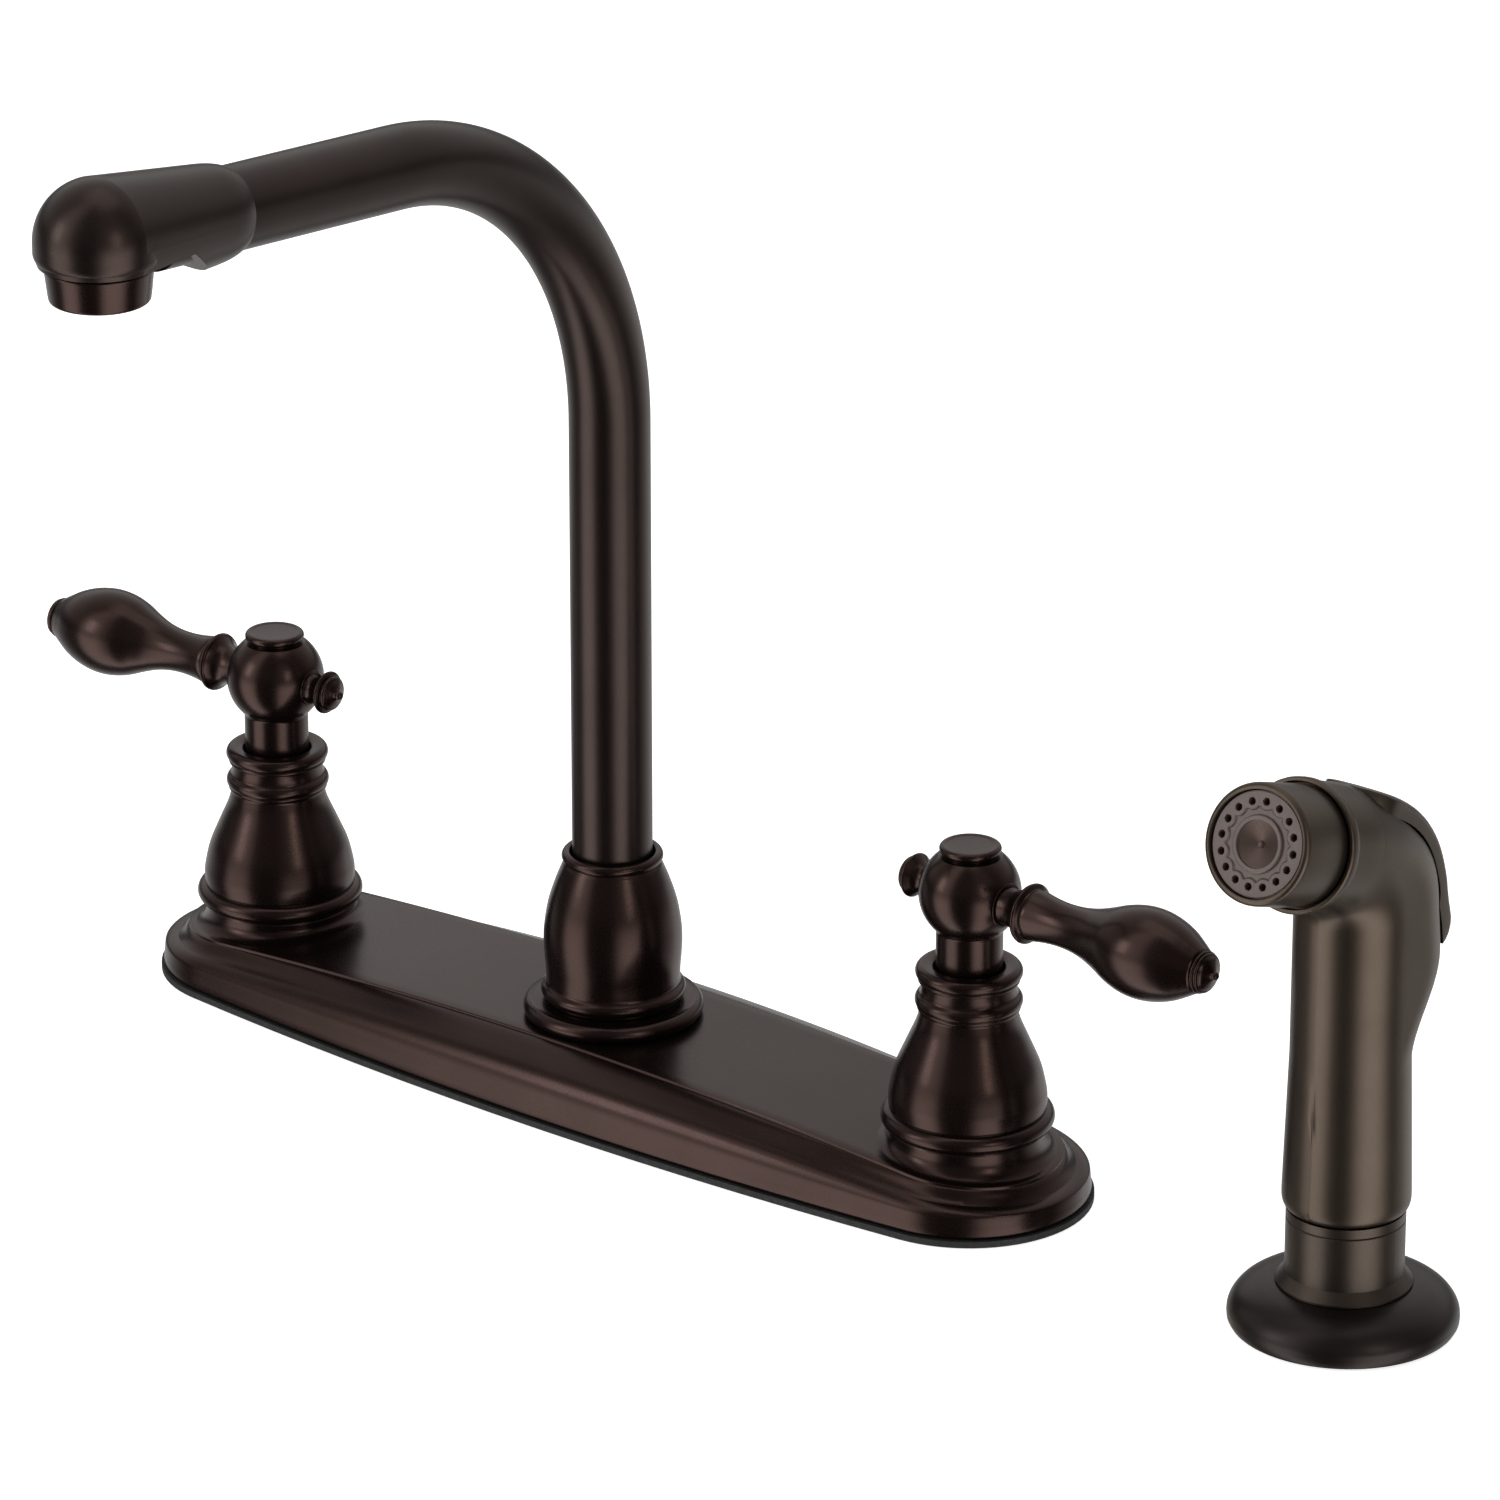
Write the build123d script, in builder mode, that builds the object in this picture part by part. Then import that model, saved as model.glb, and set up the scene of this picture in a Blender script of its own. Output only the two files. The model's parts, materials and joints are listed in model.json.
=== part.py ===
from build123d import *
import math
import os

# Two handle kitchen faucet on an 8 inch centreset plate, with a side sprayer.
# Frame: X along the plate, -Y to the front, +Z up, origin on the spout's axis
# at the deck's surface. Sizes are in millimetres and degrees.

# ---- deck and layout
hole_pitch = 101.6
sprayer_x = 2 * hole_pitch
deck_thickness = 12.0
washer_thickness = 2.0
nut_height = 6.0

# ---- clearances
turning_fit = 0.06
thread_fit = 0.05
loose_fit = 0.3

# ---- base plate and gasket
plate_half_width = 32.9
plate_end_radius = 27.6
crown_top = 16.3
crown_radius = 1389.0
shoulder_run = 10.0
shoulder_drop = 2.2
shoulder_roll = 6.2
rim_wall = 5.0
top_wall = 3.0
gasket_thickness = 1.5
gasket_lip = 0.6
pedestal_radius = 17.3
pedestal_top = 17.4
pedestal_flare = 4.1
pedestal_cove_height = 4.6
boss_radius = 20.5
boss_top = 20.0
boss_round = 1.7

# ---- valve bodies and supply shanks
shank_radius = 10.4
shank_neck_radius = 10.2
shank_neck_bottom = -20.3
shank_bore = 5.5
shank_end = -48.0
body_radius = 11.0
body_foot_radius = 14.0
body_foot_height = 2.6
body_top = 34.0
cartridge_bore = 8.7
cartridge_seat = 13.0
port_height = 6.0
cross_tube_radius = 4.0
cross_tube_bore = 2.8
cross_tube_socket = 7.5
mounting_washer_radius = 17.0
mounting_nut_flats = 30.0

# ---- ceramic cartridge
seal_height = 3.0
disc_thickness = 3.0
disc_radius = 7.0
disc_bore = 2.2
stem_flange_height = 2.5
stem_radius = 4.0
stem_top_below_lever = 2.2
cartridge_shoulder = 30.0
cartridge_neck_radius = 6.2
cartridge_top = 42.0
bonnet_nut_flats = 19.0
bonnet_nut_height = 4.0

# ---- bell escutcheon
bell_bore = 8.1
bell_top = 55.6
bell_foot_gap = 0.15
bell_bead_height = 4.4
bell_bead_width = 4.0
bell_bead_radius = 19.27
bell_lip_radius = 11.85
bell_skirt = ((17.5, 21.9), (17.35, 26.0), (16.1, 31.3), (13.8, 36.7), (11.6, 41.7), (10.85, 44.6))
bell_lining = ((8.1, 43.6), (9.7, 41.3), (11.9, 36.3), (14.2, 31.0), (15.5, 25.4))
bell_ring = ((11.05, 45.0), (11.85, 47.0), (11.1, 48.9))
bell_groove = ((10.6, 49.6), (10.6, 51.4))
bell_lip = ((11.2, 52.0), (11.85, 53.9), (10.9, 55.6))

# ---- handle
hub_bottom = 50.0
hub_neck_radius = 7.4
ball_radius = 11.3
ball_centre_above_lever = 0.3
ball_flat_above_centre = 8.8
screw_radius = 2.1
screw_head_radius = 3.8
screw_head_height = 3.2
screw_seat_above_lever = 0.8
screw_grip = 12.0
button_bore = 5.7
button_radius = 6.85
button_gap = 0.7
button_height = 1.9
lever_height = 72.2
ball_centre = lever_height + ball_centre_above_lever
ball_flat = ball_centre + ball_flat_above_centre
screw_seat = lever_height + screw_seat_above_lever
stem_top = lever_height - stem_top_below_lever
lever_yaw = 2.5
lever_thread_radius = 3.0
lever_stub_radius = 4.3
lever_seat = 10.35
lever_collar_radius = 6.8
lever_collar_at = 17.0
lever_length = 69.1
lever_tip_radius = 1.0
lever_collar_cove = 2.9
lever_collar_back = ((17.4, 6.8), (18.1, 6.3), (18.4, 5.7))
lever_grip = (
    (18.8, 5.75),
    (23.0, 5.1),
    (27.0, 4.88),
    (31.0, 5.16),
    (35.0, 6.0),
    (39.0, 7.4),
    (43.0, 9.0),
    (47.0, 9.97),
    (51.0, 10.12),
    (55.0, 9.43),
    (58.5, 8.2),
    (61.5, 6.6),
    (63.2, 5.6),
    (64.4, 4.9),
)
lever_end_ring = ((64.7, 4.45), (65.2, 4.8), (65.7, 4.45))
lever_cone = ((66.0, 4.15), (66.7, 3.3), (67.3, 2.15), (67.8, 1.2))
finial_thread_radius = 2.4
finial_stub_radius = 3.4
finial_seat = 10.65
finial_length = 20.2
finial_cove = ((13.0, 3.4), (14.0, 3.8), (14.6, 4.9))
finial_disc = ((15.6, 4.9), (16.0, 3.7))
finial_button = ((16.5, 3.7), (17.2, 4.1), (17.8, 3.6))
finial_neck = (19.0, 1.6)
thread_depth = 6.3

# ---- spout
spout_radius = 9.1
spout_wall = 1.2
spout_bottom = 22.0
spout_bend_start = 158.5
spout_bend_radius = 77.0
spout_rise = 4.7
spout_leg_length = 76.0
nipple_radius = 13.0
nipple_bore = 9.6
nipple_top = 40.0
nipple_seat = 18.0
ring_groove_depth = 0.5
retainer_radius = 12.6
retainer_height = 2.6
retainer_gap = 0.15
seal_wire = 1.8
seal_groove = 2.2
seal_heights = (27.0, 33.0)
vase_bore = 13.15
vase_shoulder = 43.0
vase_top = 55.9
vase_foot = ((15.9, 20.8), (16.5, 22.3), (15.9, 23.8))
vase_belly = ((15.15, 24.6), (15.3, 28.5), (15.74, 34.7), (15.5, 38.4), (14.65, 43.3), (13.1, 48.2), (11.2, 52.6))
vase_lip = ((10.9, 53.4), (11.5, 54.7), (10.7, 55.9))
vase_base_radius = 15.2
vase_neck_gap = 0.5

# ---- spout head and aerator
head_sleeve_overlap = 22.1
head_outlet_beyond_pipe = 15.3
head_shoulder = ((0.0, 9.6), (1.6, 10.1), (3.6, 10.5), (6.2, 10.8))
head_dome_radius = 13.5
head_bottom_below_outlet = 4.7
head_bottom_round = 2.6
head_flat_length = 16.4
head_slant_run = 14.0
head_slant_slope = 0.74
outlet_bore = 9.8
outlet_bore_height = 8.4
water_bore = 7.5
aerator_gap = 0.5
aerator_height = 7.5
aerator_top_radius = 11.4
aerator_bottom_radius = 10.6
aerator_bore = 8.3
aerator_thread_length = 7.0
aerator_washer_height = 1.6
screen_thickness = 0.8
mesh_pitch = 2.0
mesh_gap = 1.5
jet_radius = 1.1
jet_count = 6
inner_jet_ring = 3.4
outer_jet_ring = 6.2

# ---- diverter and hose outlet
diverter_bore = 5.0
diverter_bottom = 10.0
diverter_travel = 2.0
hose_nipple_radius = 6.6
hose_nipple_neck_radius = 6.4
hose_nipple_bore = 3.0
hose_nipple_end = -40.0
hose_nipple_top = 5.0
spring_wire = 0.8

# ---- sprayer holder
flange_radius = 25.0
flange_top = 9.8
flange_dome = ((0.0, 2.4), (0.8, 5.0), (3.2, 7.5), (6.6, 9.1), (10.05, 9.8))
flange_undercut = 0.5
holder_shank_radius = 12.2
holder_neck_radius = 12.0
holder_radius = 12.87
holder_collar_radius = 14.75
holder_collar_height = 2.8
holder_bore = 10.6
holder_top = 25.1
holder_end = -40.0
holder_nut_flats = 34.0
holder_washer_radius = 19.0

# ---- sprayer
coupling_flange_top = 27.2
coupling_end = 4.0
coupling_neck_radius = 8.0
coupling_top = 46.0
coupling_bore = 3.5
hose_thread_radius = 5.0
hose_thread_depth = 10.0
clip_at = 40.0
clip_height = 1.4
clip_depth = 0.8
grip_radius = 13.9
grip_waist_radius = 12.95
grip_foot_top = 31.0
grip_foot_round = 1.0
# height and back of each of the grip's upper sections, which are round-ended slots
grip_sections = ((63.0, 13.05), (69.0, 15.2), (75.0, 19.3), (82.0, 21.8), (93.0, 21.2), (105.0, 17.6))
nozzle_pitch = 19.0
nozzle_y = -22.4
nozzle_z = 117.5
nozzle_length = 15.1
nozzle_radius = 12.9
nozzle_wall = 1.6
nozzle_gap = 0.6
nozzle_collar_radius = 14.6
nozzle_collar_width = 2.4
head_radius = 13.7
head_back_y = 5.0
cavity_radius = 10.4
spray_hole_count = 16
spray_hole_radius = 0.75
spray_ring_radius = 9.2
face_recess = 0.8
face_thickness = 2.4
face_groove_radius = 5.6
face_groove_width = 0.8
face_groove_depth = 0.6
trigger_half_width = 9.0
trigger_pivot_y = 1.5
trigger_pivot_z = 118.5
trigger_pin_radius = 1.5
pocket_bottom = 81.0
pocket_top = 132.0
pocket_reach = 32.0
chamber_half_height = 5.0
pocket_floor = ((7.9, -11.0), (2.1, -5.3), (-5.2, -3.6))
# the trigger's side view, from its pivot
trigger_back = ((-4.6, 5.7), (4.5, 1.7), (13.1, -5.5), (17.5, -11.5), (20.1, -17.5), (23.5, -30.1))
trigger_tail = ((23.1, -31.5), (18.7, -35.9), (17.1, -34.5), (15.7, -19.0), (9.1, -8.5), (3.0, -3.9), (-4.6, -2.5))
trigger_round = 3.4
valve_stem_radius = 3.0
valve_stem_z = 94.0
valve_stem_start = -4.5
valve_stem_end = 17.25
valve_stem_travel = 1.55
valve_collar_at = 14.0
valve_collar_radius = 4.5
chamber_end = 8.6
duct_radius = 6.0
upper_duct_radius = 4.2
upper_duct_top = 111.0
upper_bore = 2.6
nozzle_duct_radius = 3.4
nozzle_duct_bore = 2.2
nozzle_duct_start = -19.5
cavity_top = 101.0
duct_foot_height = 1.5

os.makedirs("parts", exist_ok=True)

BASE = (Align.CENTER, Align.CENTER, Align.MIN)
SIDES = (("hot", -1), ("cold", 1))


def keep(piece, name):
    """Labels a finished sub-part and writes it."""
    piece.part.label = name
    export_step(piece.part, f"parts/{name}.step")


def upright(x=0.0):
    """The XZ plane with its origin on a vertical axis at x, for turned profiles."""
    return Plane(origin=(x, 0, 0), x_dir=(1, 0, 0), z_dir=(0, -1, 0))


def drum(radius, bottom, top, x=0.0, bore=0.0):
    """Adds an upright cylinder, or a tube where a bore is given."""
    with Locations((x, 0, bottom)):
        Cylinder(radius, top - bottom, align=BASE)
        if bore:
            Cylinder(bore, top - bottom, align=BASE, mode=Mode.SUBTRACT)


def drill(radius, bottom, top, x=0.0):
    """Cuts an upright cylinder."""
    with Locations((x, 0, bottom)):
        Cylinder(radius, top - bottom, align=BASE, mode=Mode.SUBTRACT)


def rod(plane, radius, start, end, mode=Mode.ADD):
    """Adds or cuts a cylinder along a plane's normal, between two distances."""
    with BuildSketch(plane.offset(start)) as section:
        Circle(radius)
    extrude(section.sketch, amount=end - start, mode=mode)


def crown_at(x):
    """Height of the plate's top on its centre line."""
    return crown_top - x * x / (2 * crown_radius)


def plate_outline(inset):
    """The plate's outline, drawn in by an inset: round ends about the handles, bowed sides."""
    width_gain = plate_half_width - plate_end_radius
    bow = (hole_pitch**2 + plate_half_width**2 - plate_end_radius**2) / (2 * width_gain)
    end_radius = plate_end_radius - inset
    half_width = plate_half_width - inset
    half_length = hole_pitch + end_radius
    join_x = hole_pitch + end_radius * hole_pitch / (bow - plate_end_radius)
    join_y = end_radius * (bow - plate_half_width) / (bow - plate_end_radius)
    with BuildSketch() as outline:
        with BuildLine():
            ThreePointArc((-join_x, -join_y), (0, -half_width), (join_x, -join_y))
            ThreePointArc((join_x, -join_y), (half_length, 0), (join_x, join_y))
            ThreePointArc((join_x, join_y), (0, half_width), (-join_x, join_y))
            ThreePointArc((-join_x, join_y), (-half_length, 0), (-join_x, -join_y))
        make_face()
    return outline.sketch


def under_crown(drop):
    """The upright face under the crowned top, lowered by a drop."""
    reach = hole_pitch + 2 * plate_end_radius
    end_height = crown_at(reach) - drop
    with BuildSketch(Plane.XZ) as face:
        with BuildLine():
            arc = ThreePointArc((-reach, end_height), (0, crown_top - drop), (reach, end_height))
            Polyline(arc @ 1, (reach, -crown_top), (-reach, -crown_top), arc @ 0)
        make_face()
    return face.sketch


# ======== base plate, gasket ========

with BuildPart() as plate_hollow:
    extrude(plate_outline(rim_wall), amount=crown_top)
    extrude(under_crown(top_wall), amount=2 * plate_half_width, both=True, mode=Mode.INTERSECT)

with BuildPart() as base_plate:
    extrude(plate_outline(0), amount=crown_top + 1)
    extrude(under_crown(0), amount=2 * plate_half_width, both=True, mode=Mode.INTERSECT)
    split(bisect_by=Plane.XY.offset(gasket_thickness), keep=Keep.TOP)
    top_face = base_plate.faces().sort_by(Axis.Z)[-1]
    chamfer(top_face.outer_wire().edges(), shoulder_run, shoulder_drop, reference=top_face)
    walls = base_plate.faces().filter_by(lambda face: abs(face.normal_at(face.center()).Z) < 0.05)
    fillet([wall.edges().sort_by(Axis.Z)[-1] for wall in walls], shoulder_roll)
    for side in (-1, 1):
        with BuildSketch(upright(side * hole_pitch)) as pedestal:
            with BuildLine():
                foot = pedestal_radius + pedestal_flare
                cove_top = pedestal_top - 1.8
                cove_bottom = cove_top - pedestal_cove_height
                cove = ThreePointArc(
                    (foot, cove_bottom),
                    (pedestal_radius + 0.29 * pedestal_flare, cove_bottom + 0.36 * pedestal_cove_height),
                    (pedestal_radius, cove_top),
                )
                Polyline(cove @ 1, (pedestal_radius, pedestal_top), (0, pedestal_top))
                Polyline((0, pedestal_top), (0, cove_bottom - 3), (foot, cove_bottom - 3), cove @ 0)
            make_face()
        revolve(pedestal.sketch, axis=Axis((side * hole_pitch, 0, 0), (0, 0, 1)))
    drum(boss_radius, crown_top - 2, boss_top)
    fillet(base_plate.edges().group_by(Axis.Z)[-1], boss_round)
    add(plate_hollow.part, mode=Mode.SUBTRACT)
    for side in (-1, 1):
        drill(body_radius + loose_fit, 0, pedestal_top, side * hole_pitch)
    drill(nipple_radius + loose_fit, 0, boss_top)
keep(base_plate, "base_plate")

with BuildPart() as deck_gasket:
    extrude(plate_outline(-gasket_lip), amount=gasket_thickness)
    for side in (-1, 1):
        drill(shank_neck_radius + loose_fit, 0, gasket_thickness, side * hole_pitch)
    drill(hose_nipple_neck_radius + loose_fit, 0, gasket_thickness)
keep(deck_gasket, "deck_gasket")


# ======== water way under the plate ========

with BuildPart() as waterway:
    drum(nipple_radius, gasket_thickness, nipple_top)
    tube_end = hole_pitch - cross_tube_socket
    along = Plane(origin=(0, 0, port_height), x_dir=(0, 1, 0), z_dir=(1, 0, 0))
    rod(along, cross_tube_radius, -tube_end, tube_end)
    drill(diverter_bore, gasket_thickness, nipple_seat)
    drill(nipple_bore, nipple_seat, nipple_top)
    rod(along, cross_tube_bore, -tube_end, tube_end, Mode.SUBTRACT)
    chamfer(waterway.edges().group_by(Axis.Z)[-1], 0.6)
keep(waterway, "waterway")

with BuildPart() as hose_nipple:
    drum(hose_nipple_radius, hose_nipple_end, 0)
    drum(hose_nipple_neck_radius, 0, gasket_thickness)
    drum(diverter_bore - thread_fit, gasket_thickness, hose_nipple_top - 1.8)
    drill(hose_nipple_bore, hose_nipple_end, hose_nipple_top)
    chamfer(hose_nipple.edges().group_by(Axis.Z)[0], 0.8)
keep(hose_nipple, "hose_nipple")


# ======== valves: one each side ========

def valve_body(x, inward):
    """Threaded supply shank with the cartridge's socket on top; the port faces the middle."""
    with BuildPart() as body:
        drum(shank_radius, shank_end, shank_neck_bottom, x)
        drum(shank_neck_radius, shank_neck_bottom, gasket_thickness, x)
        drum(body_foot_radius, gasket_thickness, gasket_thickness + body_foot_height, x)
        drum(body_radius, gasket_thickness, body_top, x)
        drill(shank_bore, shank_end, cartridge_seat, x)
        drill(cartridge_bore, cartridge_seat, body_top, x)
        facing = Plane(origin=(x, 0, port_height), x_dir=(0, 1, 0), z_dir=(inward, 0, 0))
        rod(facing, cross_tube_bore, 0, cross_tube_socket, Mode.SUBTRACT)
        rod(facing, cross_tube_radius + thread_fit, cross_tube_socket, hole_pitch / 2, Mode.SUBTRACT)
        chamfer(body.edges().group_by(Axis.Z)[0], 0.8)
    return body


def cartridge_seal(x):
    """Rubber ring under the fixed disc."""
    with BuildPart() as seal:
        drum(cartridge_bore - loose_fit, cartridge_seat, cartridge_seat + seal_height, x, shank_bore)
    return seal


def fixed_disc(x):
    """Ceramic disc that stays still, with two ports."""
    bottom = cartridge_seat + seal_height
    with BuildPart() as disc:
        drum(disc_radius, bottom, bottom + disc_thickness, x)
        with Locations((x, 0, bottom)):
            with PolarLocations(disc_radius / 2, 2):
                Cylinder(disc_bore, disc_thickness, align=BASE, mode=Mode.SUBTRACT)
    return disc


def moving_disc(x):
    """Ceramic disc that the stem turns."""
    bottom = cartridge_seat + seal_height + disc_thickness + turning_fit
    with BuildPart() as disc:
        drum(disc_radius, bottom, bottom + disc_thickness, x)
        with Locations((x, disc_radius / 2, bottom)):
            Cylinder(disc_bore, disc_thickness, align=BASE, mode=Mode.SUBTRACT)
    return disc


disc_stack_top = cartridge_seat + seal_height + 2 * disc_thickness + turning_fit
stem_flange_top = disc_stack_top + stem_flange_height


def cartridge_body(x):
    """Sleeve that holds the discs down and guides the stem."""
    with BuildPart() as sleeve:
        drum(cartridge_bore - thread_fit, cartridge_seat + seal_height, cartridge_shoulder, x)
        drum(cartridge_neck_radius, cartridge_shoulder, cartridge_top, x)
        drill(disc_radius + loose_fit, cartridge_seat + seal_height, stem_flange_top + loose_fit, x)
        drill(stem_radius + turning_fit, cartridge_seat, cartridge_top, x)
    return sleeve


def cartridge_stem(x):
    """Brass stem from the moving disc up into the handle."""
    with BuildPart() as stem:
        drum(disc_radius, disc_stack_top, stem_flange_top, x)
        drum(stem_radius, stem_flange_top, stem_top, x)
        drill(screw_radius + thread_fit, stem_top - screw_grip, stem_top, x)
    return stem


def bonnet_nut(x):
    """Hexagon nut that clamps the cartridge in its body."""
    with BuildPart() as nut:
        with BuildSketch(Plane.XY.offset(body_top)):
            with Locations((x, 0)):
                RegularPolygon(bonnet_nut_flats / 2, 6, major_radius=False, rotation=30)
        extrude(amount=bonnet_nut_height)
        drum(cartridge_bore - thread_fit, cartridge_shoulder, body_top, x)
        drill(cartridge_neck_radius + thread_fit, cartridge_shoulder, body_top + bonnet_nut_height, x)
    return nut


def bell_escutcheon(x):
    """Turned bell over the valve: bead, flared skirt, two rings and a lip."""
    base = pedestal_top
    with BuildPart() as bell:
        with BuildSketch(upright(x)) as profile:
            with BuildLine():
                bore = body_radius + bell_foot_gap
                bead = ThreePointArc(
                    (bell_bead_radius - bell_bead_width / 4, base + bell_bead_height * 0.1),
                    (bell_bead_radius, base + bell_bead_height / 2),
                    (bell_bead_radius - bell_bead_width / 4, base + bell_bead_height * 0.95),
                )
                skirt = Spline(*bell_skirt)
                ring = ThreePointArc(*bell_ring)
                lip = ThreePointArc(*bell_lip)
                Line(bead @ 1, skirt @ 0)
                Line(skirt @ 1, ring @ 0)
                Polyline(ring @ 1, *bell_groove, lip @ 0)
                inner = Spline(*bell_lining)
                Polyline(lip @ 1, (bell_bore, bell_top), inner @ 0)
                Polyline(
                    inner @ 1,
                    (bore, bell_lining[-1][1]),
                    (bore, base),
                    (bell_bead_radius - bell_bead_width / 2, base),
                    bead @ 0,
                )
            make_face()
        revolve(axis=Axis((x, 0, 0), (0, 0, 1)))
    return bell


# ======== handles: one each side ========

def lever_plane(x, side, outward=1):
    """Plane across the handle: origin on its axis, normal along the lever."""
    yaw = math.radians(lever_yaw)
    along = (outward * side * math.cos(yaw), -outward * math.sin(yaw), 0)
    return Plane(origin=(x, 0, lever_height), x_dir=(0, 0, 1), z_dir=along)


def turned_along(plane, draw):
    """Revolves a profile of distance and radius about a plane's normal."""
    profile_plane = Plane(origin=plane.origin, x_dir=plane.z_dir, z_dir=plane.y_dir)
    with BuildSketch(profile_plane) as profile:
        with BuildLine():
            draw()
        make_face()
    revolve(profile.sketch, axis=Axis(plane.origin, plane.z_dir))


def nose(end, radius):
    """Quarter circle that closes a turned profile on its axis."""
    half = radius * math.sqrt(0.5)
    return ThreePointArc((end - radius, radius), (end - radius + half, half), (end, 0))


def handle_hub(x, side):
    """Ball with its neck, bored for the stem, the screw, the lever and the finial."""
    with BuildPart() as hub:
        with BuildSketch(upright(x)) as profile:
            with BuildLine():
                join = ball_centre - math.sqrt(ball_radius**2 - hub_neck_radius**2)
                flat = math.sqrt(ball_radius**2 - (ball_flat - ball_centre) ** 2)
                ball = ThreePointArc((hub_neck_radius, join), (ball_radius, ball_centre), (flat, ball_flat))
                Polyline(ball @ 1, (0, ball_flat), (0, hub_bottom), (hub_neck_radius, hub_bottom), ball @ 0)
            make_face()
        revolve(axis=Axis((x, 0, 0), (0, 0, 1)))
        drill(stem_radius + thread_fit, hub_bottom, stem_top, x)
        drill(screw_radius + loose_fit, stem_top, screw_seat, x)
        drill(button_bore, screw_seat, ball_flat, x)
        out = lever_plane(x, side)
        rod(out, lever_thread_radius + thread_fit, thread_depth, ball_radius, Mode.SUBTRACT)
        rod(out, lever_stub_radius + loose_fit, lever_seat, ball_radius + 1, Mode.SUBTRACT)
        back = lever_plane(x, side, -1)
        rod(back, finial_thread_radius + thread_fit, thread_depth, ball_radius, Mode.SUBTRACT)
        rod(back, finial_stub_radius + loose_fit, finial_seat, ball_radius + 1, Mode.SUBTRACT)
    return hub


def lever(x, side):
    """Turned lever: threaded stub, trumpet collar, waist, bulb, end ring and tip."""
    def profile():
        stub_end = lever_collar_at - lever_collar_cove
        bow = (lever_collar_radius - lever_stub_radius) * 0.28
        cove = ThreePointArc(
            (stub_end, lever_stub_radius),
            (stub_end + lever_collar_cove * 0.62, lever_stub_radius + bow),
            (lever_collar_at, lever_collar_radius),
        )
        back = ThreePointArc(*lever_collar_back)
        grip = Spline(*lever_grip)
        ring = ThreePointArc(*lever_end_ring)
        cone = Spline(*lever_cone)
        tip = nose(lever_length, lever_tip_radius)
        Polyline(
            tip @ 1,
            (thread_depth, 0),
            (thread_depth, lever_thread_radius),
            (lever_seat, lever_thread_radius),
            (lever_seat, lever_stub_radius),
            cove @ 0,
        )
        Line(cove @ 1, back @ 0)
        Line(back @ 1, grip @ 0)
        Line(grip @ 1, ring @ 0)
        Line(ring @ 1, cone @ 0)
        Line(cone @ 1, tip @ 0)

    with BuildPart() as grip_lever:
        turned_along(lever_plane(x, side), profile)
    return grip_lever


def finial(x, side):
    """Small turned knob opposite the lever."""
    def profile():
        cove = ThreePointArc(*finial_cove)
        button = ThreePointArc(*finial_button)
        tip = nose(finial_length, lever_tip_radius)
        Polyline(
            tip @ 1,
            (thread_depth, 0),
            (thread_depth, finial_thread_radius),
            (finial_seat, finial_thread_radius),
            (finial_seat, finial_stub_radius),
            cove @ 0,
        )
        Polyline(cove @ 1, *finial_disc, button @ 0)
        Polyline(button @ 1, finial_neck, tip @ 0)

    with BuildPart() as knob:
        turned_along(lever_plane(x, side, -1), profile)
    return knob


def handle_screw(x):
    """Socket screw that holds the hub on the stem."""
    head_top = screw_seat + screw_head_height
    with BuildPart() as screw:
        drum(screw_radius, stem_top - screw_grip + 1, screw_seat, x)
        drum(screw_head_radius, screw_seat, head_top, x)
        with BuildSketch(Plane.XY.offset(head_top)):
            with Locations((x, 0)):
                RegularPolygon(screw_radius * 0.8, 6)
        extrude(amount=-screw_head_height / 2, mode=Mode.SUBTRACT)
    return screw


def index_button(x):
    """Plain cap that plugs the hub above its screw."""
    disc_bottom = ball_flat + button_gap
    with BuildPart() as button:
        drum(button_bore - thread_fit, screw_seat + screw_head_height + 1, disc_bottom, x)
        drum(button_radius, disc_bottom, disc_bottom + button_height, x)
        fillet(button.edges().group_by(Axis.Z)[-1], button_height / 2)
    return button


for name, side in SIDES:
    x = side * hole_pitch
    keep(valve_body(x, -side), f"{name}_valve_body")
    keep(cartridge_seal(x), f"{name}_cartridge_seal")
    keep(fixed_disc(x), f"{name}_fixed_disc")
    keep(moving_disc(x), f"{name}_moving_disc")
    keep(cartridge_body(x), f"{name}_cartridge_body")
    keep(cartridge_stem(x), f"{name}_cartridge_stem")
    keep(bonnet_nut(x), f"{name}_bonnet_nut")
    keep(bell_escutcheon(x), f"{name}_bell_escutcheon")
    keep(handle_hub(x, side), f"{name}_handle_hub")
    keep(lever(x, side), f"{name}_lever")
    keep(finial(x, side), f"{name}_finial")
    keep(handle_screw(x), f"{name}_handle_screw")
    keep(index_button(x), f"{name}_index_button")

with BuildPart() as mounting_washers:
    for side in (-1, 1):
        washer_top = -deck_thickness
        drum(mounting_washer_radius, washer_top - washer_thickness, washer_top, side * hole_pitch)
        drill(shank_neck_radius + loose_fit, washer_top - washer_thickness, washer_top, side * hole_pitch)
keep(mounting_washers, "mounting_washers")

nut_top = -deck_thickness - washer_thickness
with BuildPart() as mounting_nuts:
    with BuildSketch(Plane.XY.offset(nut_top - nut_height)):
        with Locations((-hole_pitch, 0), (hole_pitch, 0)):
            RegularPolygon(mounting_nut_flats / 2, 6, major_radius=False)
            Circle(shank_neck_radius + thread_fit, mode=Mode.SUBTRACT)
    extrude(amount=nut_height)
    chamfer(mounting_nuts.edges().group_by(Axis.Z)[0].filter_by(GeomType.LINE), 0.6)
keep(mounting_nuts, "mounting_nuts")


# ======== spout ========

rise = math.radians(spout_rise)
bend_turn = math.pi / 2 - rise
leg_start = Vector(
    0,
    -spout_bend_radius * (1 - math.cos(bend_turn)),
    spout_bend_start + spout_bend_radius * math.sin(bend_turn),
)
leg_direction = Vector(0, -math.cos(rise), math.sin(rise))


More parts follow.
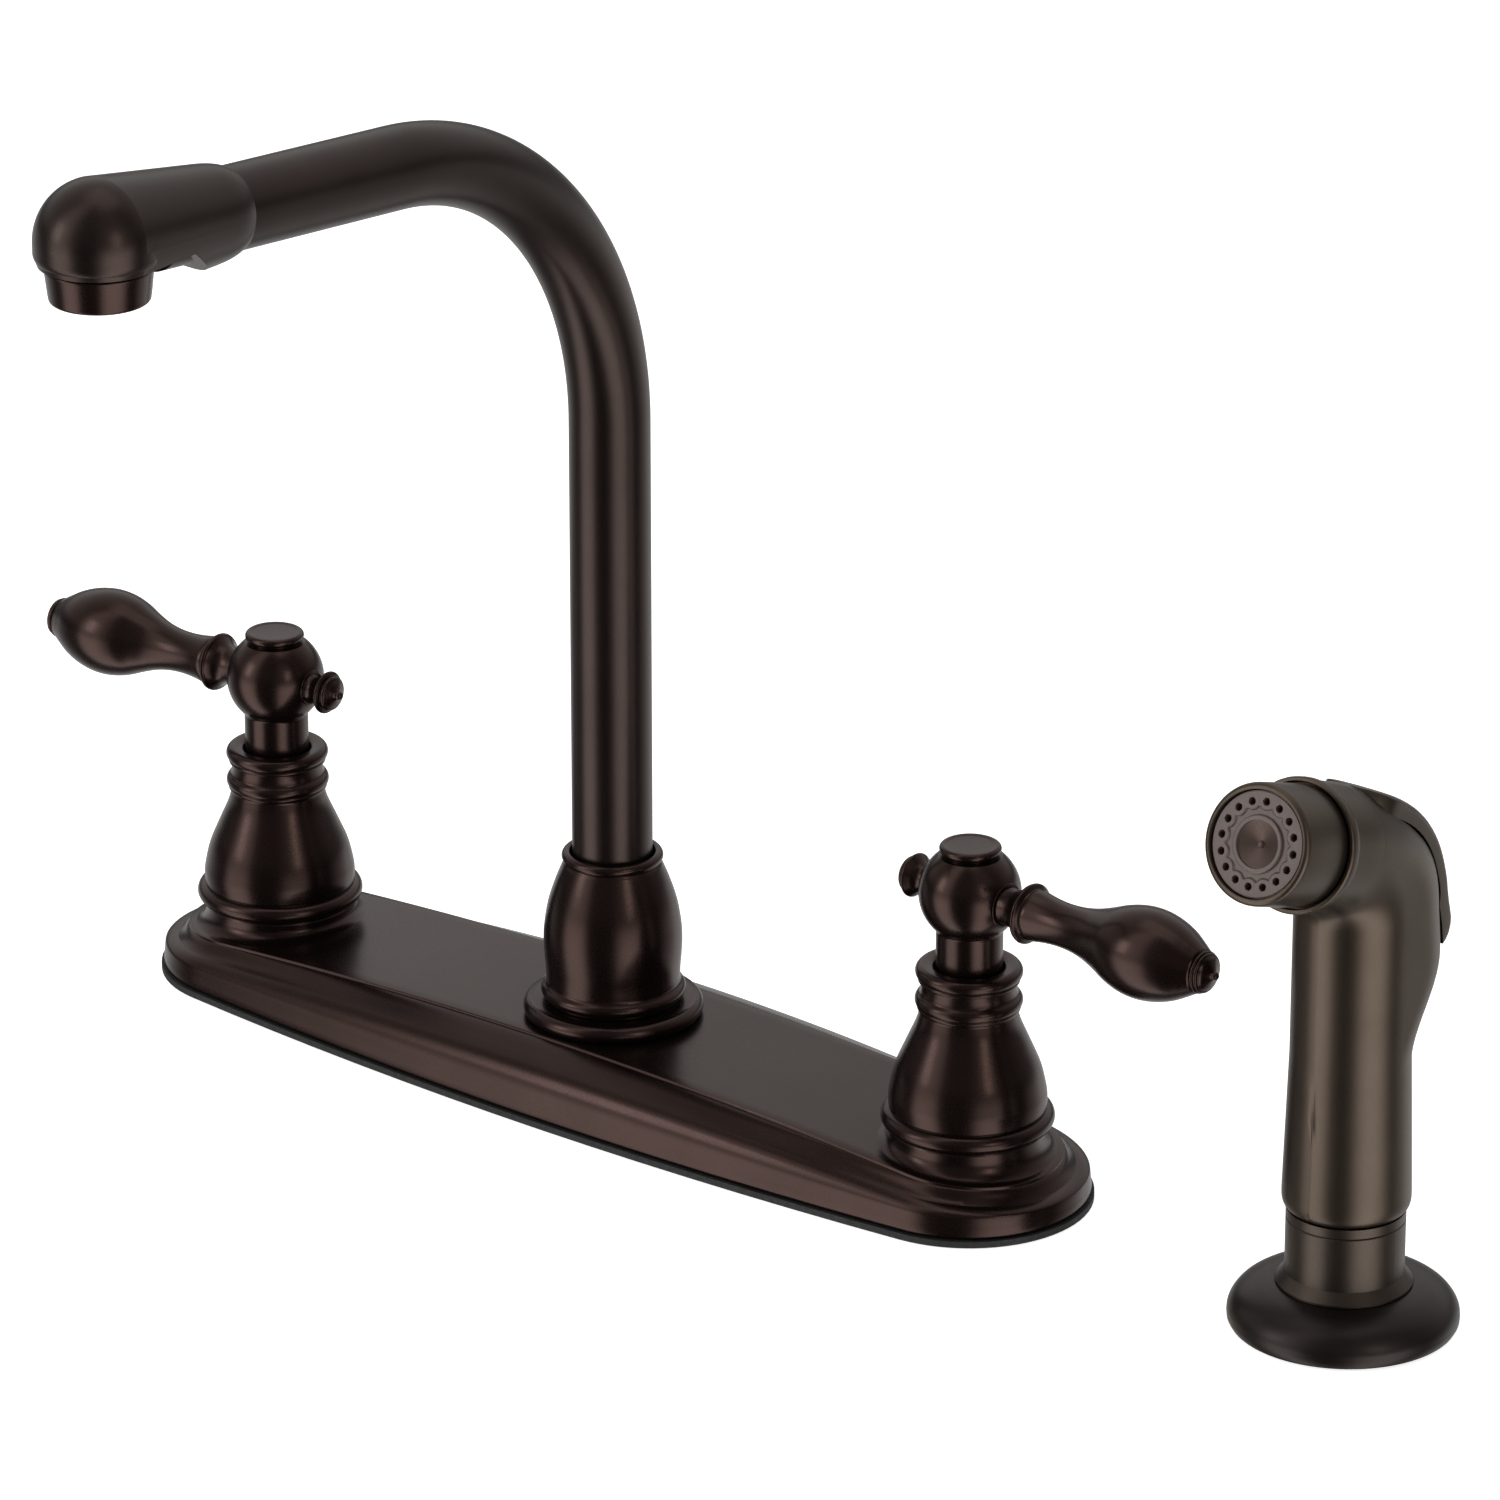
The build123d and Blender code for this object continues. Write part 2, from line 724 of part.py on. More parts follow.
def leg_plane(distance):
    """Plane across the spout's leg, at a distance from the end of the bend."""
    return Plane(origin=leg_start + leg_direction * distance, x_dir=(1, 0, 0), z_dir=leg_direction)


with BuildPart() as spout_tube:
    with BuildLine() as route:
        riser = Line((0, 0, spout_bottom), (0, 0, spout_bend_start))
        half_turn = bend_turn / 2
        middle = (
            0,
            -spout_bend_radius * (1 - math.cos(half_turn)),
            spout_bend_start + spout_bend_radius * math.sin(half_turn),
        )
        ThreePointArc(riser @ 1, middle, leg_start)
        Line(leg_start, leg_start + leg_direction * spout_leg_length)
    with BuildSketch(Plane.XY.offset(spout_bottom)) as section:
        Circle(spout_radius)
        Circle(spout_radius - spout_wall, mode=Mode.SUBTRACT)
    sweep(section.sketch, path=route.wires()[0])
    for height in seal_heights:
        with Locations((0, 0, height - seal_groove / 2)):
            Cylinder(spout_radius + 1, seal_groove, align=BASE, mode=Mode.SUBTRACT)
            Cylinder(spout_radius - ring_groove_depth, seal_groove, align=BASE)
            Cylinder(spout_radius - spout_wall, seal_groove, align=BASE, mode=Mode.SUBTRACT)
    retainer_bottom = nipple_top + retainer_gap
    with Locations((0, 0, retainer_bottom - thread_fit)):
        Cylinder(spout_radius + 1, retainer_height + 2 * thread_fit, align=BASE, mode=Mode.SUBTRACT)
        Cylinder(spout_radius - ring_groove_depth, retainer_height + 2 * thread_fit, align=BASE)
        Cylinder(spout_radius - spout_wall, retainer_height + 2 * thread_fit, align=BASE, mode=Mode.SUBTRACT)
keep(spout_tube, "spout_tube")

with BuildPart() as spout_o_rings:
    seal_inner = spout_radius - ring_groove_depth + thread_fit
    seal_outer = nipple_bore - turning_fit
    for height in seal_heights:
        drum(seal_outer, height - seal_wire / 2, height + seal_wire / 2)
        drill(seal_inner, height - seal_wire / 2, height + seal_wire / 2)
    circles = spout_o_rings.edges().filter_by(GeomType.CIRCLE)
    outer_edges = circles.filter_by(lambda edge: edge.radius > seal_inner + 0.1)
    fillet(outer_edges, (seal_outer - seal_inner) * 0.45)
keep(spout_o_rings, "spout_o_rings")

with BuildPart() as spout_retainer:
    drum(retainer_radius, retainer_bottom, retainer_bottom + retainer_height)
    drill(spout_radius - ring_groove_depth + thread_fit, retainer_bottom, retainer_bottom + retainer_height)
keep(spout_retainer, "spout_retainer")

with BuildPart() as spout_bonnet:
    with BuildSketch(Plane.XZ) as vase:
        with BuildLine():
            foot = ThreePointArc(*vase_foot)
            belly = Spline(*vase_belly)
            lip = ThreePointArc(*vase_lip)
            Polyline((vase_bore, boss_top), (vase_base_radius, boss_top), foot @ 0)
            Line(foot @ 1, belly @ 0)
            Line(belly @ 1, lip @ 0)
            Polyline(
                lip @ 1,
                (spout_radius + vase_neck_gap, vase_top),
                (spout_radius + vase_neck_gap, vase_shoulder + 1.5),
                (vase_bore - 1.0, vase_shoulder),
                (vase_bore, vase_shoulder),
                (vase_bore, boss_top),
            )
        make_face()
    revolve(axis=Axis.Z)
keep(spout_bonnet, "spout_bonnet")

head_start = spout_leg_length - head_sleeve_overlap
head_outlet_at = spout_leg_length + head_outlet_beyond_pipe
outlet = leg_start + leg_direction * head_outlet_at
head_bottom = outlet.Z - head_bottom_below_outlet
outlet_bore_top = head_bottom + outlet_bore_height
aerator_top = head_bottom - aerator_gap
aerator_bottom = aerator_top - aerator_height
outlet_axis = Plane(origin=(0, outlet.Y, 0), x_dir=(1, 0, 0), z_dir=(0, 0, 1))


def barrel_profile():
    """Half outline of the barrel: rounded shoulder, slow taper and the dome at the outlet."""
    shoulder = Spline(*head_shoulder)
    length = head_outlet_at - head_start
    slant = head_dome_radius * math.sqrt(0.5)
    dome = ThreePointArc((length, head_dome_radius), (length + slant, slant), (length + head_dome_radius, 0))
    Line(shoulder @ 1, dome @ 0)
    Polyline(dome @ 1, (0, 0), shoulder @ 0)


with BuildPart() as spout_barrel:
    turned_along(leg_plane(head_start), barrel_profile)
    reach = 2 * head_dome_radius
    with BuildSketch(Plane.YZ) as underside:
        with BuildLine():
            Polyline(
                (outlet.Y - reach, head_bottom),
                (outlet.Y + head_flat_length, head_bottom),
                (outlet.Y + head_flat_length + head_slant_run, head_bottom - head_slant_run * head_slant_slope),
                (outlet.Y + head_flat_length + head_slant_run, head_bottom - reach),
                (outlet.Y - reach, head_bottom - reach),
                close=True,
            )
        make_face()
    extrude(underside.sketch, amount=reach, both=True, mode=Mode.SUBTRACT)

with BuildPart() as spout_head:
    rod(outlet_axis, head_dome_radius, head_bottom, outlet.Z)
    fillet(spout_head.edges().group_by(Axis.Z)[0], head_bottom_round)
    add(spout_barrel.part)
    rod(leg_plane(0), spout_radius + thread_fit, head_start - 1, spout_leg_length, Mode.SUBTRACT)
    rod(leg_plane(0), water_bore, spout_leg_length, head_outlet_at, Mode.SUBTRACT)
    rod(outlet_axis, outlet_bore, head_bottom - 1, outlet_bore_top, Mode.SUBTRACT)
keep(spout_head, "spout_head")


# ======== aerator ========

with BuildPart() as aerator_housing:
    with BuildSketch(outlet_axis.offset(aerator_bottom)) as lower:
        Circle(aerator_bottom_radius)
    with BuildSketch(outlet_axis.offset(aerator_top)) as upper:
        Circle(aerator_top_radius)
    loft([lower.sketch, upper.sketch], ruled=True)
    fillet(aerator_housing.edges().group_by(Axis.Z)[0], 0.8)
    rod(outlet_axis, outlet_bore - thread_fit, aerator_top, aerator_top + aerator_thread_length)
    rod(
        outlet_axis,
        aerator_bore,
        aerator_bottom + 2 * screen_thickness,
        aerator_top + aerator_thread_length,
        Mode.SUBTRACT,
    )
    rod(outlet_axis, aerator_bore - 1, aerator_bottom, aerator_bottom + 2 * screen_thickness, Mode.SUBTRACT)
keep(aerator_housing, "aerator_housing")

screen_bottom = aerator_bottom + 2 * screen_thickness
with BuildPart() as aerator_screen:
    rod(outlet_axis, aerator_bore - thread_fit, screen_bottom, screen_bottom + screen_thickness)
    with BuildSketch(outlet_axis.offset(screen_bottom)) as mesh:
        with GridLocations(mesh_pitch, mesh_pitch, 5, 5):
            Rectangle(mesh_gap, mesh_gap)
    extrude(mesh.sketch, amount=screen_thickness, mode=Mode.SUBTRACT)
keep(aerator_screen, "aerator_screen")

insert_bottom = screen_bottom + screen_thickness
insert_top = aerator_top + aerator_thread_length - 1
with BuildPart() as aerator_insert:
    rod(outlet_axis, aerator_bore - thread_fit, insert_bottom, insert_top)
    with BuildSketch(outlet_axis.offset(insert_bottom)) as jets:
        with PolarLocations(inner_jet_ring, jet_count):
            Circle(jet_radius)
        with PolarLocations(outer_jet_ring, 2 * jet_count):
            Circle(jet_radius)
    extrude(jets.sketch, amount=insert_top - insert_bottom, mode=Mode.SUBTRACT)
keep(aerator_insert, "aerator_insert")

with BuildPart() as aerator_washer:
    washer_bottom = aerator_top + aerator_thread_length
    rod(outlet_axis, outlet_bore - 0.1, washer_bottom, washer_bottom + aerator_washer_height)
    rod(outlet_axis, aerator_bore - 1, washer_bottom, washer_bottom + aerator_washer_height, Mode.SUBTRACT)
keep(aerator_washer, "aerator_washer")


# ======== diverter ========

diverter_spring_top = diverter_bottom
diverter_spring_bottom = hose_nipple_top - 1.8

with BuildPart() as diverter_valve:
    drum(diverter_bore - turning_fit, diverter_bottom, nipple_seat - 0.1)
    drill(diverter_bore / 2, diverter_bottom, nipple_seat - 3)
    with Locations((0, 0, nipple_seat - 3)):
        with PolarLocations(diverter_bore / 2, 4):
            Cylinder(0.8, 3, align=BASE, mode=Mode.SUBTRACT)
keep(diverter_valve, "diverter_valve")

with BuildPart() as diverter_seat:
    drum(nipple_bore - thread_fit, nipple_seat, nipple_seat + 1.2)
    drill(diverter_bore - 1.2, nipple_seat, nipple_seat + 1.2)
keep(diverter_seat, "diverter_seat")


def coil_spring(plane, radius, wire, length, pitch):
    """Compression spring standing on a plane; its ends keep half a wire clear."""
    with BuildPart() as spring:
        with BuildLine() as coil:
            Helix(pitch, length - wire, radius, center=(0, 0, 0))
        start = coil.line @ 0
        tangent = coil.line % 0
        with BuildSketch(Plane(origin=start, z_dir=tangent)) as wire_section:
            Circle(wire / 2)
        body = sweep(wire_section.sketch, path=coil.wires()[0], is_frenet=True, mode=Mode.PRIVATE)
        add(plane.offset(wire / 2).location * body)
    return spring


diverter_spring = coil_spring(
    Plane.XY.offset(diverter_spring_bottom),
    diverter_bore - 1.0,
    spring_wire,
    diverter_spring_top - diverter_spring_bottom,
    1.5,
)
keep(diverter_spring, "diverter_spring")


# ======== side sprayer: holder in the deck ========

with BuildPart() as sprayer_flange:
    with BuildSketch(upright(sprayer_x)) as profile:
        with BuildLine():
            bore = holder_neck_radius + loose_fit
            dome = Spline(*[(flange_radius - inward, height) for inward, height in flange_dome])
            Polyline(dome @ 1, (bore, flange_top), (bore, 0), (flange_radius - flange_undercut, 0), dome @ 0)
        make_face()
    revolve(axis=Axis((sprayer_x, 0, 0), (0, 0, 1)))
keep(sprayer_flange, "sprayer_flange")

with BuildPart() as sprayer_holder:
    with BuildSketch(upright(sprayer_x)) as profile:
        with BuildLine():
            Polyline(
                (holder_bore, holder_end),
                (holder_shank_radius, holder_end),
                (holder_shank_radius, shank_neck_bottom),
                (holder_neck_radius, shank_neck_bottom),
                (holder_neck_radius, flange_top),
                (holder_collar_radius, flange_top),
                (holder_collar_radius, flange_top + 0.5),
                (holder_radius, flange_top + holder_collar_height),
                (holder_radius, holder_top),
                (holder_bore, holder_top),
                close=True,
            )
        make_face()
    revolve(axis=Axis((sprayer_x, 0, 0), (0, 0, 1)))
    chamfer(sprayer_holder.edges().group_by(Axis.Z)[-1], 0.4)
keep(sprayer_holder, "sprayer_holder")

with BuildPart() as sprayer_washer:
    drum(holder_washer_radius, -deck_thickness - washer_thickness, -deck_thickness, sprayer_x)
    drill(holder_neck_radius + loose_fit, -deck_thickness - washer_thickness, -deck_thickness, sprayer_x)
keep(sprayer_washer, "sprayer_washer")

with BuildPart() as sprayer_nut:
    with BuildSketch(Plane.XY.offset(nut_top - nut_height)):
        with Locations((sprayer_x, 0)):
            RegularPolygon(holder_nut_flats / 2, 6, major_radius=False)
            Circle(holder_neck_radius + thread_fit, mode=Mode.SUBTRACT)
    extrude(amount=nut_height)
keep(sprayer_nut, "sprayer_nut")


# ======== side sprayer: the part in the hand ========

pitch = math.radians(nozzle_pitch)
nozzle_direction = Vector(0, -math.cos(pitch), math.sin(pitch))
nozzle_origin = Vector(sprayer_x, nozzle_y, nozzle_z)


def nozzle_plane(distance=0.0):
    """Plane across the nozzle, at a distance in front of the collar's front face."""
    return Plane(origin=nozzle_origin + nozzle_direction * distance, x_dir=(1, 0, 0), z_dir=nozzle_direction)


def side_plane():
    """Plane through the sprayer's middle, seen from its side: local x is Y, local y is Z."""
    return Plane(origin=(sprayer_x, 0, 0), x_dir=(0, 1, 0), z_dir=(1, 0, 0))


head_back_distance = (nozzle_y - head_back_y) / math.cos(pitch)
head_back = nozzle_origin + nozzle_direction * head_back_distance

with BuildPart() as sprayer_coupling:
    clip_groove = coupling_neck_radius - clip_depth
    drum(holder_bore - loose_fit, coupling_end, holder_top + thread_fit, sprayer_x)
    drum(holder_radius, holder_top + thread_fit, coupling_flange_top, sprayer_x)
    drum(coupling_neck_radius, coupling_flange_top, clip_at, sprayer_x)
    drum(clip_groove, clip_at, clip_at + clip_height, sprayer_x)
    drum(coupling_neck_radius, clip_at + clip_height, coupling_top, sprayer_x)
    drill(coupling_bore, coupling_end, coupling_top, sprayer_x)
    drill(hose_thread_radius, coupling_end, coupling_end + hose_thread_depth, sprayer_x)
keep(sprayer_coupling, "sprayer_coupling")

with BuildPart() as coupling_clip:
    drum(cavity_radius - 0.6, clip_at + thread_fit, clip_at + clip_height - thread_fit, sprayer_x)
    drill(clip_groove + thread_fit, clip_at, clip_at + clip_height, sprayer_x)
keep(coupling_clip, "coupling_clip")

with BuildPart() as grip_form:
    drum(grip_radius, coupling_flange_top + thread_fit, grip_foot_top, sprayer_x)
    fillet(grip_form.edges().group_by(Axis.Z)[0], grip_foot_round)
    with BuildSketch(Plane(origin=(sprayer_x, 0, grip_foot_top))) as grip_foot:
        Circle(grip_radius)
    waist_height = grip_sections[0][0]
    with BuildSketch(Plane(origin=(sprayer_x, 0, waist_height))) as grip_waist:
        Circle(grip_waist_radius)
    loft([grip_foot.sketch, grip_waist.sketch], ruled=True)
    slices = []
    for height, back in grip_sections:
        stretch = back - grip_waist_radius
        slice_plane = Plane(origin=(sprayer_x, stretch / 2, height), x_dir=(0, 1, 0), z_dir=(0, 0, 1))
        with BuildSketch(slice_plane) as slice_sketch:
            SlotCenterToCenter(stretch, 2 * grip_waist_radius)
        slices.append(slice_sketch.sketch)
    loft(slices)

with BuildPart() as sprayer_form:
    add(grip_form.part)
    with Locations(head_back):
        Sphere(head_radius)
    rod(nozzle_plane(), head_radius, head_back_distance, 0)
    rod(nozzle_plane(), nozzle_collar_radius, -nozzle_collar_width, 0)

stem_axis = Plane(origin=(sprayer_x, 0, valve_stem_z), x_dir=(1, 0, 0), z_dir=(0, 1, 0))

# the pocket leaves room for the trigger and for its travel
with BuildPart() as trigger_pocket:
    with BuildSketch(side_plane()) as pocket:
        with BuildLine():
            Polyline(
                (grip_radius, pocket_bottom),
                (grip_radius, valve_stem_z + chamber_half_height),
                *[(trigger_pivot_y + dy, trigger_pivot_z + dz) for dy, dz in pocket_floor],
                (trigger_pivot_y + pocket_floor[-1][0], pocket_top),
                (pocket_reach, pocket_top),
                (pocket_reach, pocket_bottom),
                close=True,
            )
        make_face()
    extrude(pocket.sketch, amount=trigger_half_width + loose_fit, both=True)

pin_half_length = trigger_half_width + 2.0

with BuildPart() as sprayer_shell:
    add(sprayer_form.part)
    drill(cavity_radius, clip_at, cavity_top, sprayer_x)
    drill(upper_duct_radius + loose_fit, clip_at, upper_duct_top + loose_fit, sprayer_x)
    duct_hole = nozzle_duct_radius + loose_fit
    rod(nozzle_plane(), duct_hole, nozzle_duct_start - loose_fit, 0, Mode.SUBTRACT)
    socket_radius = nozzle_radius - nozzle_wall + thread_fit
    rod(nozzle_plane(), socket_radius, -nozzle_collar_width, 0, Mode.SUBTRACT)
    add(trigger_pocket.part, mode=Mode.SUBTRACT)
    rod(stem_axis, valve_collar_radius + loose_fit, 0, grip_radius + 1, Mode.SUBTRACT)
    drill(coupling_neck_radius + turning_fit, coupling_flange_top, clip_at, sprayer_x)
    across = Plane(origin=(sprayer_x, trigger_pivot_y, trigger_pivot_z), x_dir=(0, 1, 0), z_dir=(1, 0, 0))
    rod(across, trigger_pin_radius + thread_fit, -pin_half_length, pin_half_length, Mode.SUBTRACT)
keep(sprayer_shell, "sprayer_shell")

with BuildPart() as trigger_pin:
    rod(across, trigger_pin_radius, -pin_half_length + 0.1, pin_half_length - 0.1)
keep(trigger_pin, "trigger_pin")

with BuildPart() as thumb_lever:
    with BuildSketch(side_plane()) as paddle:
        with BuildLine():
            outer = Spline(*[(trigger_pivot_y + dy, trigger_pivot_z + dz) for dy, dz in trigger_back])
            tail = [(trigger_pivot_y + dy, trigger_pivot_z + dz) for dy, dz in trigger_tail]
            Polyline(outer @ 1, *tail, outer @ 0)
        make_face()
    extrude(paddle.sketch, amount=trigger_half_width, both=True)
    long_edges = thumb_lever.edges().filter_by(GeomType.BSPLINE)
    fillet(long_edges, trigger_round)
    rod(across, trigger_pin_radius + turning_fit, -pin_half_length, pin_half_length, Mode.SUBTRACT)
keep(thumb_lever, "thumb_lever")

# water way inside the sprayer: foot on the coupling, a valve chamber, a duct to the nozzle
with BuildPart() as sprayer_waterway:
    foot_top = coupling_top + duct_foot_height
    drum(cavity_radius - loose_fit, clip_at + clip_height + thread_fit, foot_top, sprayer_x)
    drum(duct_radius, foot_top, cavity_top - loose_fit, sprayer_x)
    drum(upper_duct_radius, foot_top, upper_duct_top, sprayer_x)
    rod(stem_axis, duct_radius, -duct_radius, chamber_end)
    rod(nozzle_plane(), nozzle_duct_radius, nozzle_duct_start, 2.0)
    drill(coupling_neck_radius + turning_fit, clip_at, coupling_top + thread_fit, sprayer_x)
    drill(coupling_bore, coupling_top, valve_stem_z, sprayer_x)
    drill(upper_bore, valve_stem_z, upper_duct_top - duct_foot_height, sprayer_x)
    rod(nozzle_plane(), nozzle_duct_bore, nozzle_duct_start + duct_foot_height, 2.0, Mode.SUBTRACT)
    rod(stem_axis, valve_stem_radius + turning_fit, valve_stem_start, chamber_end, Mode.SUBTRACT)
keep(sprayer_waterway, "sprayer_waterway")

with BuildPart() as valve_stem:
    rod(stem_axis, valve_stem_radius, valve_stem_start + valve_stem_travel + 0.5, valve_stem_end)
    rod(stem_axis, valve_collar_radius, valve_collar_at, valve_collar_at + 1)
keep(valve_stem, "valve_stem")

trigger_spring = coil_spring(
    stem_axis.offset(chamber_end + thread_fit),
    valve_stem_radius + spring_wire,
    spring_wire,
    valve_collar_at - chamber_end - 2 * thread_fit,
    1.3,
)
keep(trigger_spring, "trigger_spring")

with BuildPart() as nozzle_ring:
    rod(nozzle_plane(), nozzle_radius, nozzle_gap, nozzle_length)
    fillet(nozzle_ring.edges().filter_by(GeomType.CIRCLE).sort_by(Axis((0, 0, 0), nozzle_direction))[-1], 1.2)
    rod(nozzle_plane(), nozzle_radius - nozzle_wall, -1.5, nozzle_gap)
    face_back = nozzle_length - face_recess - face_thickness
    rod(nozzle_plane(), nozzle_radius - nozzle_wall, face_back, nozzle_length, Mode.SUBTRACT)
    rod(nozzle_plane(), nozzle_duct_radius + thread_fit, -1.5, 4.0, Mode.SUBTRACT)
    rod(nozzle_plane(), nozzle_radius - 2 * nozzle_wall, 4.0, face_back, Mode.SUBTRACT)
keep(nozzle_ring, "nozzle_ring")

with BuildPart() as spray_face:
    rod(nozzle_plane(), nozzle_radius - nozzle_wall - thread_fit, face_back, face_back + face_thickness)
    front_face = face_back + face_thickness
    with BuildSketch(nozzle_plane(front_face)) as groove:
        Circle(face_groove_radius + face_groove_width / 2)
        Circle(face_groove_radius - face_groove_width / 2, mode=Mode.SUBTRACT)
    extrude(groove.sketch, amount=-face_groove_depth, mode=Mode.SUBTRACT)
    with BuildSketch(nozzle_plane(front_face)) as holes:
        with PolarLocations(spray_ring_radius, spray_hole_count):
            Circle(spray_hole_radius)
    extrude(holes.sketch, amount=-face_thickness, mode=Mode.SUBTRACT)
keep(spray_face, "spray_face")
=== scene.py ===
import bpy
import bmesh
import json
import math
from mathutils import Matrix, Vector

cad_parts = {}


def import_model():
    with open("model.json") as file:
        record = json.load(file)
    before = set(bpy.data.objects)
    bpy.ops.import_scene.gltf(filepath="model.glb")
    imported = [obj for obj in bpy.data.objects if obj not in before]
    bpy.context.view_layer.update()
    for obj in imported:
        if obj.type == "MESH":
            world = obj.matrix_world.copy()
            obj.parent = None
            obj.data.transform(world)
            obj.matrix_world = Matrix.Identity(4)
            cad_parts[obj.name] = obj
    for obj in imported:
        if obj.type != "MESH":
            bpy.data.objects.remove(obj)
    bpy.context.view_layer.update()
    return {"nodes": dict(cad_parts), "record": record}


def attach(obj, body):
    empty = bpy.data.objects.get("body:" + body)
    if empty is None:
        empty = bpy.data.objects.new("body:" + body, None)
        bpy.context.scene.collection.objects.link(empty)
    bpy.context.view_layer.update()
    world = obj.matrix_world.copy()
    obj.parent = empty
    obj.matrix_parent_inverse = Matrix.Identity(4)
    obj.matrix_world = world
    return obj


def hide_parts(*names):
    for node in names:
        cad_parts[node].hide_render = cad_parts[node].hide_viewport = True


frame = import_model()
nodes = frame["nodes"]

# Lengths in this script are in mm until a mesh is made.
MM = 0.001
# Where the handles and the sprayer stand on the line along the plate through the spout.
HANDLE = 101.6
SPRAYER = 203.2
SIDES = (("hot", -1), ("cold", 1))


# ---------------------------------------------------------------- materials

def shader(name, base, metallic, roughness, ior=1.5):
    """A new material with its Principled shader's plain values set on its own sockets."""
    mat = bpy.data.materials.new(name)
    mat.use_nodes = True
    bsdf = mat.node_tree.nodes["Principled BSDF"]
    bsdf.inputs["Base Color"].default_value = (*base, 1)
    bsdf.inputs["Metallic"].default_value = metallic
    bsdf.inputs["Roughness"].default_value = roughness
    bsdf.inputs["IOR"].default_value = ior
    return mat, bsdf


def node(mat, kind, **values):
    made = mat.node_tree.nodes.new(kind)
    for key, value in values.items():
        setattr(made, key, value)
    return made


def link(mat, a, b):
    mat.node_tree.links.new(a, b)


def noise(mat, scale, detail=4.0):
    """Noise in object space, so that it stays with its piece."""
    coord = node(mat, "ShaderNodeTexCoord")
    tex = node(mat, "ShaderNodeTexNoise")
    tex.inputs["Scale"].default_value = scale
    tex.inputs["Detail"].default_value = detail
    tex.inputs["Roughness"].default_value = 0.55
    link(mat, coord.outputs["Object"], tex.inputs["Vector"])
    return tex.outputs["Fac"]


def ramp(mat, source, stops):
    """Colour of a value, from stops of (value, colour)."""
    made = node(mat, "ShaderNodeValToRGB")
    elements = made.color_ramp.elements
    while len(elements) < len(stops):
        elements.new(0.5)
    for element, (at, colour) in zip(elements, stops):
        element.position = at
        element.color = (*colour, 1)
    link(mat, source, made.inputs["Fac"])
    return made.outputs["Color"]


def spread(mat, source, low, high, start=0.3, end=0.7):
    """A value's stretch from start to end, turned into one from low to high."""
    made = node(mat, "ShaderNodeMapRange")
    made.inputs["From Min"].default_value = start
    made.inputs["From Max"].default_value = end
    made.inputs["To Min"].default_value = low
    made.inputs["To Max"].default_value = high
    link(mat, source, made.inputs["Value"])
    return made.outputs["Result"]


def bump(mat, bsdf, source, strength, distance):
    made = node(mat, "ShaderNodeBump")
    made.inputs["Strength"].default_value = strength
    made.inputs["Distance"].default_value = distance
    link(mat, source, made.inputs["Height"])
    link(mat, made.outputs["Normal"], bsdf.inputs["Normal"])


GRAIN_DEPTH = 0.04 * MM


def coated(name, dark, light, metallic, low, high, grain, strength, mottle=45.0):
    """A coated surface: mottling from dark to light, and a fine grain in its height and its gloss.

    The roughness goes from low to high; grain and mottle are the scales of the two noises, and
    strength is that of the grain's bump.
    """
    mat, bsdf = shader(name, dark, metallic, (low + high) / 2)
    broad = noise(mat, mottle, 5.0)
    link(mat, ramp(mat, broad, ((0.25, dark), (0.75, light))), bsdf.inputs["Base Color"])
    fine = noise(mat, grain, 3.0)
    link(mat, spread(mat, fine, low, high), bsdf.inputs["Roughness"])
    bump(mat, bsdf, fine, strength, GRAIN_DEPTH)
    return mat


def metal_centre_with_painted_shade(mat, at, axis, radius, colour):
    """Gives the middle of a round face, out to a radius round its axis, a darker colour and more
    metal: partly a metal centre, partly painted shade of its sunk cone.
    """
    coord = node(mat, "ShaderNodeTexCoord")
    off = node(mat, "ShaderNodeVectorMath", operation="SUBTRACT")
    off.inputs[1].default_value = at
    link(mat, coord.outputs["Object"], off.inputs[0])
    cross = node(mat, "ShaderNodeVectorMath", operation="CROSS_PRODUCT")
    cross.inputs[1].default_value = axis
    link(mat, off.outputs["Vector"], cross.inputs[0])
    length = node(mat, "ShaderNodeVectorMath", operation="LENGTH")
    link(mat, cross.outputs["Vector"], length.inputs[0])
    share = spread(mat, length.outputs["Value"], 1.0, 0.0, radius * 0.97, radius * 1.01)
    bsdf = mat.node_tree.nodes["Principled BSDF"]
    outer = bsdf.inputs["Base Color"].links[0].from_socket
    mix = node(mat, "ShaderNodeMixRGB")
    mix.inputs["Color2"].default_value = (*colour, 1)
    link(mat, share, mix.inputs["Fac"])
    link(mat, outer, mix.inputs["Color1"])
    link(mat, mix.outputs["Color"], bsdf.inputs["Base Color"])
    link(mat, spread(mat, share, 0.35, 0.9, 0.0, 1.0), bsdf.inputs["Metallic"])


bronze = coated(
    "bronze", (0.030, 0.0180, 0.0155), (0.038, 0.0225, 0.0195), 0.90, 0.21, 0.29, 2600.0, 0.12
)
bronze_tube = coated(
    "bronze_tube", (0.032, 0.0225, 0.0200), (0.040, 0.0280, 0.0248),
    0.90, 0.28, 0.36, 2400.0, 0.12,
)
bronze_flange = coated(
    "bronze_flange", (0.020, 0.0155, 0.0145), (0.026, 0.0195, 0.0180),
    0.80, 0.32, 0.40, 2200.0, 0.15,
)
paint = coated(
    "sprayer_paint", (0.068, 0.052, 0.040), (0.077, 0.059, 0.046),
    0.90, 0.32, 0.41, 3200.0, 0.25, 110.0,
)
paint_pad = coated(
    "pad_paint", (0.062, 0.048, 0.037), (0.070, 0.054, 0.042),
    0.90, 0.33, 0.42, 3200.0, 0.25, 110.0,
)
paint_holder = coated(
    "holder_paint", (0.050, 0.039, 0.032), (0.060, 0.047, 0.038),
    0.88, 0.32, 0.43, 2800.0, 0.25, 110.0,
)
